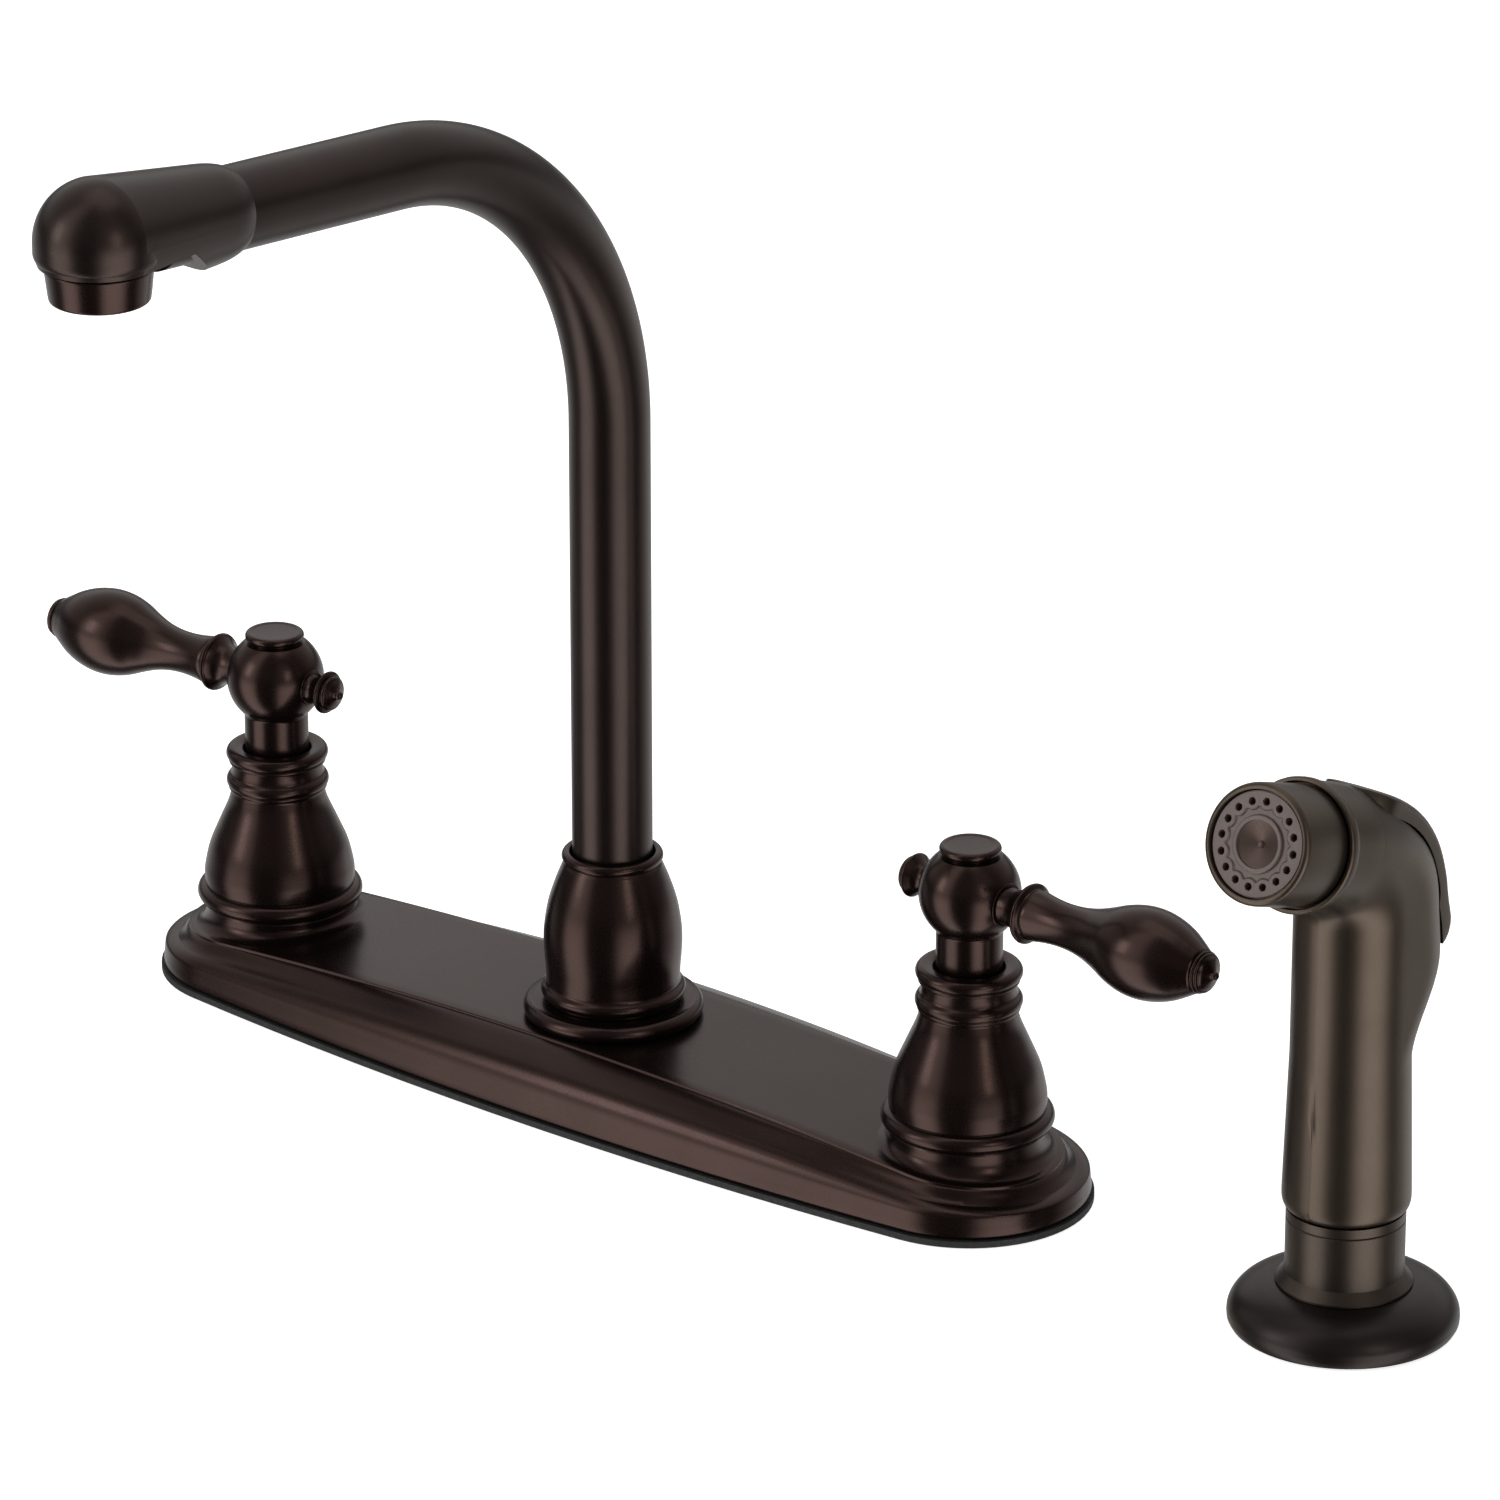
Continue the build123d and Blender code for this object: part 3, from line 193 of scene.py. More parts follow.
face_paint = coated(
    "face_plastic", (0.096, 0.073, 0.066), (0.116, 0.088, 0.080), 0.35, 0.38, 0.48, 1800.0, 0.15
)
brass = coated("brass", (0.50, 0.35, 0.14), (0.62, 0.45, 0.20), 1.0, 0.26, 0.42, 1500.0, 0.2)
steel = coated("steel", (0.42, 0.42, 0.42), (0.56, 0.56, 0.55), 1.0, 0.24, 0.40, 1700.0, 0.2)
ceramic = coated("ceramic", (0.78, 0.76, 0.70), (0.84, 0.82, 0.77), 0.0, 0.18, 0.30, 900.0, 0.05)
rubber = coated("rubber", (0.006, 0.006, 0.006), (0.012, 0.012, 0.012), 0.0, 0.60, 0.78, 900.0, 0.5)
pale_plastic = coated(
    "pale_plastic", (0.48, 0.48, 0.45), (0.56, 0.56, 0.52), 0.0, 0.36, 0.50, 1100.0, 0.25
)
black_plastic = coated(
    "black_plastic", (0.012, 0.012, 0.012), (0.020, 0.020, 0.020), 0.0, 0.40, 0.55, 1200.0, 0.3
)

SLOT_FINISH = {
    "dark_bronze": bronze,
    "sprayer_plastic": paint,
    "spray_face_plastic": face_paint,
    "body_brass": brass,
    "steel": steel,
    "ceramic": ceramic,
    "seal_rubber": rubber,
    "inner_plastic": pale_plastic,
    "black_plastic": black_plastic,
}
# Every CAD node has its slot's finish; the pieces below stand in for most of those in sight.
for part in frame["record"]["subparts"]:
    shown = nodes[part["node"]]
    shown.data.materials.clear()
    shown.data.materials.append(SLOT_FINISH[part["material_slot"]])


# ---------------------------------------------------------------- mesh tools

def piece(name, points, faces, mat, body, slot, stands_for, sharp=32.0):
    """One object from points in mm in place of CAD nodes; edges over an angle stay crisp."""
    mesh = bpy.data.meshes.new(name)
    mesh.from_pydata([Vector(p) * MM for p in points], [], faces)
    tidy = bmesh.new()
    tidy.from_mesh(mesh)
    bmesh.ops.remove_doubles(tidy, verts=tidy.verts, dist=1e-6)
    bmesh.ops.dissolve_degenerate(tidy, edges=tidy.edges, dist=1e-7)
    bmesh.ops.recalc_face_normals(tidy, faces=tidy.faces)
    tidy.to_mesh(mesh)
    tidy.free()
    mesh.polygons.foreach_set("use_smooth", [True] * len(mesh.polygons))
    mesh.set_sharp_from_angle(angle=math.radians(sharp))
    mesh.materials.append(mat)
    obj = bpy.data.objects.new(name, mesh)
    bpy.context.scene.collection.objects.link(obj)
    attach(obj, body)
    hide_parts(*stands_for)
    return obj


def smooth(points, steps):
    """A Catmull-Rom curve through the points, with a number of steps between two of them."""
    inner = [Vector(p) for p in points]
    knots = [2 * inner[0] - inner[1]] + inner + [2 * inner[-1] - inner[-2]]
    made = []
    for a, b, c, d in zip(knots, knots[1:], knots[2:], knots[3:]):
        second = 2 * a - 5 * b + 4 * c - d
        third = 3 * b - a - 3 * c + d
        for k in range(steps):
            t = k / steps
            made.append(0.5 * (2 * b + (c - a) * t + second * t * t + third * t**3))
    made.append(knots[-2])
    return [tuple(p) for p in made]


def arc(r, z, size, start, end, steps):
    """Points of an arc about (r, z), angles in degrees from outward."""
    made = []
    for k in range(steps + 1):
        angle = math.radians(start + (end - start) * k / steps)
        made.append((r + size * math.cos(angle), z + size * math.sin(angle)))
    return made


def ring(radius, count):
    """Points round a circle, as pairs."""
    turns = [2 * math.pi * k / count for k in range(count)]
    return [(radius * math.cos(a), radius * math.sin(a)) for a in turns]


def turned(profile, origin=(0, 0, 0), along=(0, 0, 1), count=96):
    """Points and faces of a profile of radius and distance, turned about a line."""
    turn = Vector(along).to_track_quat("Z", "Y").to_matrix()
    points = []
    for r, z in profile:
        points += [turn @ Vector((x, y, z)) + Vector(origin) for x, y in ring(r, count)]
    return points, bands(len(profile), count)


def bands(rows, count, closed=True):
    """Faces that join rows of points."""
    faces = []
    last = count if closed else count - 1
    for i in range(rows - 1):
        for k in range(last):
            n = (k + 1) % count
            low, high = i * count, (i + 1) * count
            faces.append((low + k, low + n, high + n, high + k))
    return faces


def joined(*parts):
    """One list of points and faces from several."""
    points, faces = [], []
    for more, shapes in parts:
        faces += [tuple(i + len(points) for i in face) for face in shapes]
        points += more
    return points, faces


# ---------------------------------------------------------------- base plate

# The outline is two long arcs, half the plate's width from its spine at the middle, and a round
# end about each handle.
PLATE_HALF = 32.9
END_RADIUS = 27.6
BOW = (HANDLE**2 + PLATE_HALF**2 - END_RADIUS**2) / (2 * (PLATE_HALF - END_RADIUS))
SIDE_STEPS = 88
END_STEPS = 44
# The wall, the roll above it and the shoulder that climbs to the straight edge of the top.
WALL = [(0.9, 1.5), (0.25, 1.9), (0.0, 2.8)] + [
    (0.05 + 0.35 * t, 2.8 + 3.7 * t) for t in (0.33, 0.66, 1.0)
]
WALL_TOP = 6.5
ROLL_DROP = 2.9
SHOULDER_IN = 4.2
SHOULDER = (
    (0.25, 2.35), (0.5, 1.62), (0.75, 0.98), (0.9, 0.72),
    (1.0, 0.62), (1.006, 0.25), (1.03, 0.05), (1.08, 0.0),
)
EDGE_Y = 21.5
# The pedestals under the handles' bells, and the foot of the cove round them.
PEDESTAL = 17.3
PEDESTAL_WALL = 15.7
COVE = 3.7
COVE_FOOT = 21.0
COVE_STEPS = 12
# The top's height at the middle, and its fall towards the ends.
CROWN = 16.3
CROWN_FALL = 3.6e-4


def crown(x):
    """Height of the plate's top along the plate."""
    return CROWN - CROWN_FALL * x * x


def outline():
    """Stations round the plate: outer point, its inward direction, its point on the spine."""
    stations = []
    tilt = math.asin(HANDLE / (BOW - END_RADIUS))
    centre = BOW - PLATE_HALF
    for turn in (-1, 1):
        for k in range(SIDE_STEPS):
            a = -tilt + 2 * tilt * k / SIDE_STEPS
            out = Vector((math.sin(a), -math.cos(a)))
            point = Vector((0, centre)) + out * BOW
            spine = Vector((min(max(point.x, -HANDLE), HANDLE), 0))
            stations.append((-turn * point, turn * out, -turn * spine))
        for k in range(END_STEPS):
            a = tilt + (math.pi - 2 * tilt) * k / END_STEPS
            out = Vector((math.sin(a), -math.cos(a)))
            point = Vector((HANDLE, 0)) + out * END_RADIUS
            stations.append((-turn * point, turn * out, -turn * Vector((HANDLE, 0))))
    return stations


def pedestal(x):
    """Short column whose cove runs out on the crowned top."""
    count = 120
    rims = [(12.0, 17.4), (16.6, 17.4), (17.05, 17.25), (PEDESTAL, 16.8), (PEDESTAL, PEDESTAL_WALL)]
    made = [(x + px, py, z) for r, z in rims for px, py in ring(r, count)]
    for j in range(1, COVE_STEPS + 1):
        t = math.radians(86 * j / COVE_STEPS)
        r = PEDESTAL + COVE * (1 - math.cos(t))
        for (px, py), (foot_x, _) in zip(ring(r, count), ring(COVE_FOOT, count)):
            foot = crown(x + foot_x) - 0.15
            made.append((x + px, py, PEDESTAL_WALL + (foot - PEDESTAL_WALL) * math.sin(t)))
    return made, bands(len(rims) + COVE_STEPS, count)


def base_plate():
    """Bowed plate with its two pedestals and its middle boss."""
    stations = outline()
    rows = [[(s[0] + s[1] * depth, height) for s in stations] for depth, height in WALL]
    for degrees in range(8, 80, 8):
        a = math.radians(degrees)
        depth = 0.4 + 4.6 * (1 - math.cos(a))
        row = []
        for point, inward, spine in stations:
            top = crown(point.x) - ROLL_DROP
            row.append((point + inward * depth, WALL_TOP + (top - WALL_TOP) * math.sin(a)))
        rows.append(row)
    for share, drop in SHOULDER:
        row = []
        for point, inward, spine in stations:
            full = END_RADIUS - EDGE_Y
            if abs(inward.y) > 0.98:
                full = max(abs(point.y) - EDGE_Y, full)
            at = point + inward * (SHOULDER_IN + (full - SHOULDER_IN) * share)
            row.append((at, crown(at.x) - drop))
        rows.append(row)
    last = rows[-1]
    for share in (0.12, 0.3, 0.5, 0.75, 1.0):
        across = [p[0].lerp(s[2], share) for p, s in zip(last, stations)]
        rows.append([(at, crown(at.x)) for at in across])
    points = [(at.x, at.y, z) for row in rows for at, z in row]
    shell = (points, bands(len(rows), len(stations)))
    boss = [(13.5, 20.0), (17.8, 20.0), (18.5, 19.9)] + arc(18.45, 18.05, 2.05, 75, -58, 14)
    boss += [(19.2, 15.5)]
    made = joined(shell, pedestal(-HANDLE), pedestal(HANDLE), turned(boss, count=128))
    return piece(
        "base_plate_shell", *made, bronze, "faucet", "dark_bronze", ("base_plate",), sharp=28
    )


base_plate()


# ---------------------------------------------------------------- handles

LEVER_Z = 72.2
# How far the levers turn towards the front.
YAW = math.radians(2.5)
BALL = 11.3
BALL_Z = 72.5
BALL_TOP = 81.3
NECK = 7.4


def lever_line(side):
    """Direction in which the lever of a side points."""
    return Vector((side * math.cos(YAW), -math.sin(YAW), 0))


def bell(name, x):
    """Bell escutcheon: bead, flare, rings and the lip that closes round the hub's neck."""
    profile = [(11.2, 17.55), (16.6, 17.55)]
    profile += arc(17.2, 19.55, 2.07, -80, 84, 16)
    profile += [(17.42, 21.72), (17.42, 21.9)]
    profile += smooth([
        (17.5, 22.1), (17.55, 24.2), (17.3, 26.4), (16.15, 31.2),
        (13.85, 36.7), (11.75, 41.5), (10.95, 44.2), (10.85, 44.9),
    ], 8)
    profile += arc(10.75, 45.75, 0.75, -70, 30, 5)
    profile += arc(10.2, 47.25, 1.72, -38, 62, 9)
    profile += smooth([(10.78, 49.1), (10.62, 50.0), (10.6, 51.2), (10.62, 51.6)], 3)
    profile += arc(10.75, 52.2, 0.55, -60, 40, 5)
    profile += arc(10.25, 53.95, 1.62, -50, 88, 12)
    profile += smooth([(10.1, 55.57), (9.2, 55.5), (8.5, 55.4), (8.05, 55.2)], 4)
    profile += [(7.8, 54.9), (7.78, 53.5), (8.15, 53.0), (8.15, 50.0)]
    made = turned(profile, (x, 0, 0), count=128)
    return piece(
        f"{name}_bell", *made, bronze, "faucet", "dark_bronze", (f"{name}_bell_escutcheon",),
        sharp=40,
    )


def stub_rim(x, line, radius):
    """Rim where a stub of a radius enters the ball along a line."""
    start = math.sqrt(BALL**2 - (radius + 0.45) ** 2)
    profile = [(radius + 0.05, start - 0.6), (radius + 0.05, start + 0.05)]
    profile += arc(radius + 0.4, start + 0.02, 0.35, 150, 20, 6)
    return turned(profile, (x, 0, LEVER_Z), line, 48)


def hub(name, x, side):
    """Ball hub on its neck, with the rims of the lever's and the finial's stubs."""
    join = BALL_Z - math.sqrt(BALL**2 - NECK**2)
    start = math.degrees(math.asin((join - BALL_Z + 0.12) / BALL))
    end = math.degrees(math.asin((BALL_TOP - BALL_Z) / BALL))
    profile = [(4.06, 50.0), (6.9, 50.0), (NECK, 50.4), (NECK, 63.4), (NECK, join - 0.25)]
    profile += arc(0, BALL_Z, BALL, start, end, 40)
    profile += [(6.6, 81.34), (5.75, BALL_TOP), (5.75, 78.0)]
    line = lever_line(side)
    ball = turned(profile, (x, 0, 0), count=128)
    made = joined(ball, stub_rim(x, line, 4.3), stub_rim(x, -line, 3.4))
    return piece(
        f"{name}_hub", *made, bronze, f"{name}_handle", "dark_bronze", (f"{name}_handle_hub",),
        sharp=30,
    )


def grip(name, x, side):
    """Turned lever: stub, collar, swelling grip and the ring and dome at its end."""
    profile = [(0, 6.3), (3.0, 6.3), (3.0, 10.35), (4.3, 10.35), (4.28, 11.6)]
    profile += smooth([(4.25, 12.0), (4.35, 13.4), (4.9, 14.9), (5.9, 16.1), (6.6, 16.6)], 5)
    profile += arc(6.3, 17.15, 0.52, 60, -40, 6)[::-1]
    profile += [(6.15, 17.75), (5.75, 18.0), (5.62, 18.35)]
    profile += smooth([
        (5.75, 18.8), (5.1, 23.0), (4.88, 27.0), (5.16, 31.0), (6.0, 35.0),
        (7.4, 39.0), (9.0, 43.0), (9.97, 47.0), (10.12, 51.0), (9.43, 55.0),
        (8.2, 58.5), (6.6, 61.5), (5.6, 63.2), (4.95, 64.3),
    ], 6)
    profile += [(4.62, 64.5), (4.4, 64.62), (4.4, 64.72)]
    profile += arc(4.33, 65.1, 0.46, -58, 52, 8)
    profile += [(4.42, 65.5), (4.42, 65.56)] + arc(4.05, 65.85, 0.42, -20, 60, 5)
    profile += [(4.12, 66.3), (3.85, 66.32)]
    profile += smooth([(3.8, 66.38), (3.25, 66.85), (2.2, 67.3), (1.35, 67.7), (1.0, 67.95)], 5)
    profile += arc(0.0, 68.15, 0.95, -8, 90, 7)
    made = turned(profile, (x, 0, LEVER_Z), lever_line(side), 96)
    return piece(
        f"{name}_grip", *made, bronze, f"{name}_handle", "dark_bronze", (f"{name}_lever",),
        sharp=36,
    )


def knob(name, x, side):
    """Turned finial opposite the lever: a flared disc, a ring and a rounded end."""
    profile = [(0, 6.3), (2.4, 6.3), (2.4, 10.65), (3.4, 10.65), (3.4, 10.9)]
    flare = [(3.2, 11.1), (3.0, 12.0), (3.15, 12.9), (3.65, 13.8), (4.35, 14.6), (4.8, 15.1)]
    profile += smooth(flare, 5)
    profile += arc(4.55, 15.5, 0.45, -40, 80, 7)
    profile += smooth([(4.4, 16.1), (3.85, 16.2), (3.7, 16.4)], 3)
    profile += arc(3.45, 16.85, 0.6, -40, 80, 7)
    profile += smooth([(3.3, 17.5), (2.5, 17.9), (1.6, 18.25), (1.1, 18.6)], 4)
    profile += arc(0.0, 18.95, 1.0, -8, 90, 7)
    made = turned(profile, (x, 0, LEVER_Z), -lever_line(side), 72)
    return piece(
        f"{name}_knob", *made, bronze, f"{name}_handle", "dark_bronze", (f"{name}_finial",),
        sharp=38,
    )


def button(name, x):
    """Round index button in the ball's top, with a slightly hollow face."""
    profile = [(0, 77.5), (5.62, 77.5), (5.62, 81.95), (6.2, 82.0)]
    profile += arc(5.95, 82.9, 0.9, -85, 88, 14)
    profile += smooth([(5.8, 83.8), (5.3, 83.72), (4.9, 83.66), (3.0, 83.62), (0, 83.6)], 4)
    made = turned(profile, (x, 0, 0), count=96)
    return piece(
        f"{name}_button", *made, bronze, f"{name}_handle", "dark_bronze", (f"{name}_index_button",),
        sharp=34,
    )


for label, sign in SIDES:
    centre_x = sign * HANDLE
    bell(label, centre_x)
    hub(label, centre_x, sign)
    grip(label, centre_x, sign)
    knob(label, centre_x, sign)
    button(label, centre_x)


# ---------------------------------------------------------------- spout

def vase():
    """Vase under the spout, with its foot's ring and its lip."""
    profile = [(13.2, 20.05), (14.9, 20.05), (15.15, 20.3), (15.15, 20.7)]
    profile += arc(14.9, 22.35, 1.6, -62, 62, 12)
    profile += [(15.35, 24.1), (15.2, 24.4)]
    profile += smooth([
        (15.2, 24.7), (15.3, 27.5), (15.6, 31.0), (15.74, 34.7), (15.5, 38.4),
        (14.65, 43.3), (13.1, 48.2), (11.5, 52.2), (11.0, 53.2),
    ], 7)
    profile += [(10.9, 53.4)]
    profile += arc(10.25, 54.6, 1.27, -50, 105, 12)
    profile += [(9.75, 55.7), (9.65, 55.2), (9.6, 53.0), (9.6, 46.0)]
    made = turned(profile, count=128)
    return piece("spout_vase", *made, bronze, "faucet", "dark_bronze", ("spout_bonnet",), sharp=36)


# The pipe stands up to RISER, bends forward about BEND and runs on at RISE above the level.
PIPE = 9.1
PIPE_BORE = 7.9
RISER = 158.5
BEND = 77.0
BEND_STEPS = 56
RISE = math.radians(4.7)
TURN = math.pi / 2 - RISE
LEG = Vector((0, -BEND * (1 - math.cos(TURN)), RISER + BEND * math.sin(TURN)))
FORWARD = Vector((0, -math.cos(RISE), math.sin(RISE)))
OUTLET = 91.3


def route():
    """Points of the spout's centre line with their directions."""
    line = [(Vector((0, 0, z)), Vector((0, 0, 1))) for z in (22.0, 60.0, 100.0, 140.0, RISER)]
    for k in range(1, BEND_STEPS + 1):
        a = TURN * k / BEND_STEPS
        at = Vector((0, -BEND * (1 - math.cos(a)), RISER + BEND * math.sin(a)))
        line.append((at, Vector((0, -math.sin(a), math.cos(a)))))
    for t in (10, 20, 30, 40, 50, 60, 76):
        line.append((LEG + FORWARD * t, FORWARD))
    return line


def pipe():
    """The bent pipe, down its outside and back up its bore."""
    count = 96
    side = Vector((1, 0, 0))
    points = []
    line = route()
    for radius, order in ((PIPE, line), (PIPE_BORE, line[::-1])):
        for at, direction in order:
            up = direction.cross(side)
            points += [at + side * x + up * y for x, y in ring(radius, count)]
    made = (points, bands(2 * len(line), count))
    return piece(
        "spout_pipe", *made, bronze_tube, "spout", "dark_bronze", ("spout_tube",), sharp=40
    )


vase()
pipe()
nodes["spout_head"].data.materials[0] = bronze_tube


def aerator():
    """Outlet ring under the spout's head."""
    at = LEG + FORWARD * OUTLET
    profile = [(7.3, 229.9), (9.6, 229.95)]
    profile += arc(9.75, 230.9, 0.85, -88, 5, 7)
    profile += [(10.72, 231.6), (11.3, 236.7)]
    profile += arc(10.95, 237.0, 0.42, 5, 88, 5)
    profile += [(10.5, 237.5), (9.75, 237.5), (9.75, 244.4), (8.3, 244.4)]
    profile += [(8.3, 231.7), (7.3, 231.6), (7.3, 229.9)]
    made = turned(profile, (0, at.y, 0), count=128)
    return piece(
        "aerator_ring", *made, bronze, "spout", "dark_bronze", ("aerator_housing",), sharp=34
    )


aerator()


# ---------------------------------------------------------------- sprayer holder

def flange():
    """Domed deck flange of the sprayer's holder."""
    profile = [(12.4, 0.02), (23.6, 0.02), (24.4, 0.3), (24.9, 1.2)]
    profile += smooth([
        (25.0, 2.2), (24.85, 3.6), (24.2, 5.1), (22.9, 6.7),
        (21.0, 8.0), (18.6, 9.0), (16.2, 9.55), (14.95, 9.7),
    ], 7)
    profile += [(14.9, 9.55), (12.4, 9.55)]
    made = turned(profile, (SPRAYER, 0, 0), count=128)
    return piece(
        "flange_dome", *made, bronze_flange, "faucet", "dark_bronze", ("sprayer_flange",), sharp=36
    )


flange()
nodes["sprayer_holder"].data.materials[0] = paint_holder
nodes["sprayer_coupling"].data.materials[0] = paint_holder


# ---------------------------------------------------------------- sprayer body

# The head looks AHEAD from NOZZLE; the elbow's sections fan out about FAN, from the back upwards.
PITCH = math.radians(19.0)
NOZZLE = Vector((SPRAYER, -22.4, 117.5))
AHEAD = Vector((0, -math.cos(PITCH), math.sin(PITCH)))
FAN = Vector((0, -18.9, 95.4))
# Half the thumb lever's width, the columns of points across that half, and its pocket's depth.
PAD = 9.0
PAD_COLUMNS = 9
POCKET = 3.2


def along(table, at):
    """Smooth value from a table of (place, value)."""
    if at <= table[0][0]:
        return table[0][1]
    for k in range(len(table) - 1):
        (a, va), (b, vb) = table[k], table[k + 1]
        if at <= b:
            before = table[k - 1] if k else (2 * a - b, va)
            after = table[k + 2] if k + 2 < len(table) else (2 * b - a, vb)
            t = (at - a) / (b - a)
            slope_a = (vb - before[1]) / (b - before[0]) * (b - a)
            slope_b = (after[1] - va) / (after[0] - a) * (b - a)
            return (
                va * (2 * t**3 - 3 * t * t + 1) + slope_a * (t**3 - 2 * t * t + t)
                + vb * (3 * t * t - 2 * t**3) + slope_b * (t**3 - t * t)
            )
    return table[-1][1]


# The back of the grip by height, and the elbow's reach from FAN by its angle: the body, then the
# thumb lever. Last the body's half width by the angle.
GRIP_BACK = (
    (58, 13.05), (63, 13.05), (66, 13.8), (70, 16.0), (75, 19.3),
    (79, 21.4), (82.8, 22.3), (88, 22.0), (95.4, 21.2),
)
BODY_REACH = (
    (0, 40.1), (12, 39.4), (21.4, 38.1), (34.8, 35.8), (49.3, 34.0), (60, 33.4), (71, 33.4),
)
PAD_BACK = ((82.6, 25.9), (88.4, 25.2), (95.4, 23.6))
PAD_REACH = ((0, 42.5), (7.9, 41.6), (17, 40.5), (27.7, 38.8), (44.9, 35.7), (56, 34.1), (66, 33.3))
BODY_WIDTH = ((0, 12.95), (25, 13.1), (50, 13.5), (71, 13.7))
# The grip narrows from its foot up to where its back begins to swell; the head is a round tube.
GRIP_FOOT = 31
GRIP_STRAIGHT = 63
TUBE = 13.7
# From this angle on the thumb lever and its pocket narrow to a round tip, over so many degrees.
TIP_START = 51
TIP_SHARES = [math.sin(math.radians(90 * k / 8)) for k in range(1, 9)]
POCKET_TIP = 13.0
PAD_TIP = 12.5
# The foot's rounding: how far each row lies below the foot and inside it.
FOOT_ROWS = (
    (3.7, 2.6), (3.72, 2.2), (3.6, 1.6), (3.2, 0.85), (2.6, 0.4), (1.8, 0.12), (0.9, 0.02),
)
# The collar about the nozzle: how far each row lies ahead and outside of the tube.
COLLAR_ROWS = (
    (-2.75, 0.1), (-2.62, 0.4), (-2.35, 0.62), (-1.9, 0.7), (-0.6, 0.7), (-0.2, 0.6),
    (0.0, 0.35), (0.0, -0.2), (-0.3, -0.45), (-2.3, -0.5), (-2.4, -2.3),
)


def away(angle):
    """Direction from FAN to the elbow's back at an angle in degrees."""
    a = math.radians(angle)
    return Vector((0, math.cos(a), math.sin(a)))


def grip_station(z):
    """Section of the grip: its centre, the direction to its back, half length and half width."""
    straight = z < GRIP_STRAIGHT
    wide = 13.9 - 0.95 * (z - GRIP_FOOT) / 32 if straight else 12.95
    back = along(GRIP_BACK, z) if z > GRIP_STRAIGHT else wide
    half = (wide + back) / 2
    return Vector((0, back - half, z)), away(0), half, wide


def fan_station(angle):
    """Section of the elbow, likewise."""
    reach = along(BODY_REACH, angle)
    wide = along(BODY_WIDTH, angle)
    half = max((reach - 6.0) / 2, wide)
    return FAN + away(angle) * (reach - half), away(angle), half, wide


def tube_station(at):
    """Section of the head at a distance ahead of the nozzle's seat, likewise."""
    centre = Vector((0, NOZZLE.y, NOZZLE.z)) + AHEAD * at
    return centre, Vector((0, math.sin(PITCH), math.cos(PITCH))), TUBE, TUBE


# Columns of points on the round of the back beside the pad, along the flat flank, and round the
# front, and the half widths at which the seam down the front starts and reaches its depth.
BACK_COLUMNS = 8
FLANK_COLUMNS = 5
FRONT_COLUMNS = 14
SEAM_EDGE = 0.22
SEAM = 0.10


def slot_row(place, pad=PAD, inset=0.0, crease=0.0):
    """Points round a round-ended section, with a column on each side of the pad's edge.

    An inset makes the section smaller all round; a crease is the depth of the front's seam.
    """
    centre, to_back, half, wide = place
    edge = math.asin(min(pad / wide, 0.999))
    turns = [edge * k / PAD_COLUMNS for k in range(PAD_COLUMNS + 1)]
    rest = math.pi / 2 - edge
    turns += [edge + rest * k / BACK_COLUMNS for k in range(1, BACK_COLUMNS + 1)]
    straight = half - wide
    side = [(wide * math.sin(a), straight + wide * math.cos(a)) for a in turns]
    side += [(wide, straight * (1 - 2 * k / FLANK_COLUMNS)) for k in range(1, FLANK_COLUMNS)]
    fronts = [math.pi / 2 * k / FRONT_COLUMNS for k in range(FRONT_COLUMNS)]
    side += [(wide * math.cos(a), -straight - wide * math.sin(a)) for a in fronts]
    side += [(SEAM_EDGE, -half + 0.003), (SEAM, -half + crease)]
    full = side + [(0.0, -half + crease)] + [(-x, t) for x, t in side[:0:-1]]
    scale = 1 - inset / wide
    return [Vector((SPRAYER + x * scale, 0, 0)) + centre + to_back * t * scale for x, t in full]


def body_rows():
    """Rows of the sprayer's body from foot to collar, and whether the pocket is open there."""
    rows = []
    centre, to_back, half, wide = grip_station(GRIP_FOOT)
    for drop, inset in FOOT_ROWS:
        place = (centre - Vector((0, 0, drop)), to_back, half - inset, wide - inset)
        rows.append((slot_row(place, crease=0.1), False))
    for z in (31, 36, 41, 46, 51, 56, 60, 63, 65, 67, 69, 71, 73, 75, 77, 79, 80.6, 81.6):
        crease = 0.12 * min(max((60 - z) / 12, 0), 1)
        rows.append((slot_row(grip_station(z), crease=crease), False))
    for z in (81.7, 83, 85, 87, 89, 91, 93.2):
        rows.append((slot_row(grip_station(z)), True))
    for angle in range(0, TIP_START + 1, 3):
        rows.append((slot_row(fan_station(angle)), True))
    for share in TIP_SHARES:
        pad = PAD * math.sqrt(max(1 - share**2, 0.004))
        rows.append((slot_row(fan_station(TIP_START + POCKET_TIP * share), pad), True))
    for angle, narrow in ((64.1, 0.07), (67.5, 0.35), (71, 0.35)):
        rows.append((slot_row(fan_station(angle), PAD * narrow), False))
    for at in (-8.0, -5.5, -3.6, -2.9):
        rows.append((slot_row(tube_station(at), PAD * 0.6), False))
    for at, grow in COLLAR_ROWS:
        rows.append((slot_row(tube_station(at), PAD * 0.6, inset=-grow), False))
    return rows


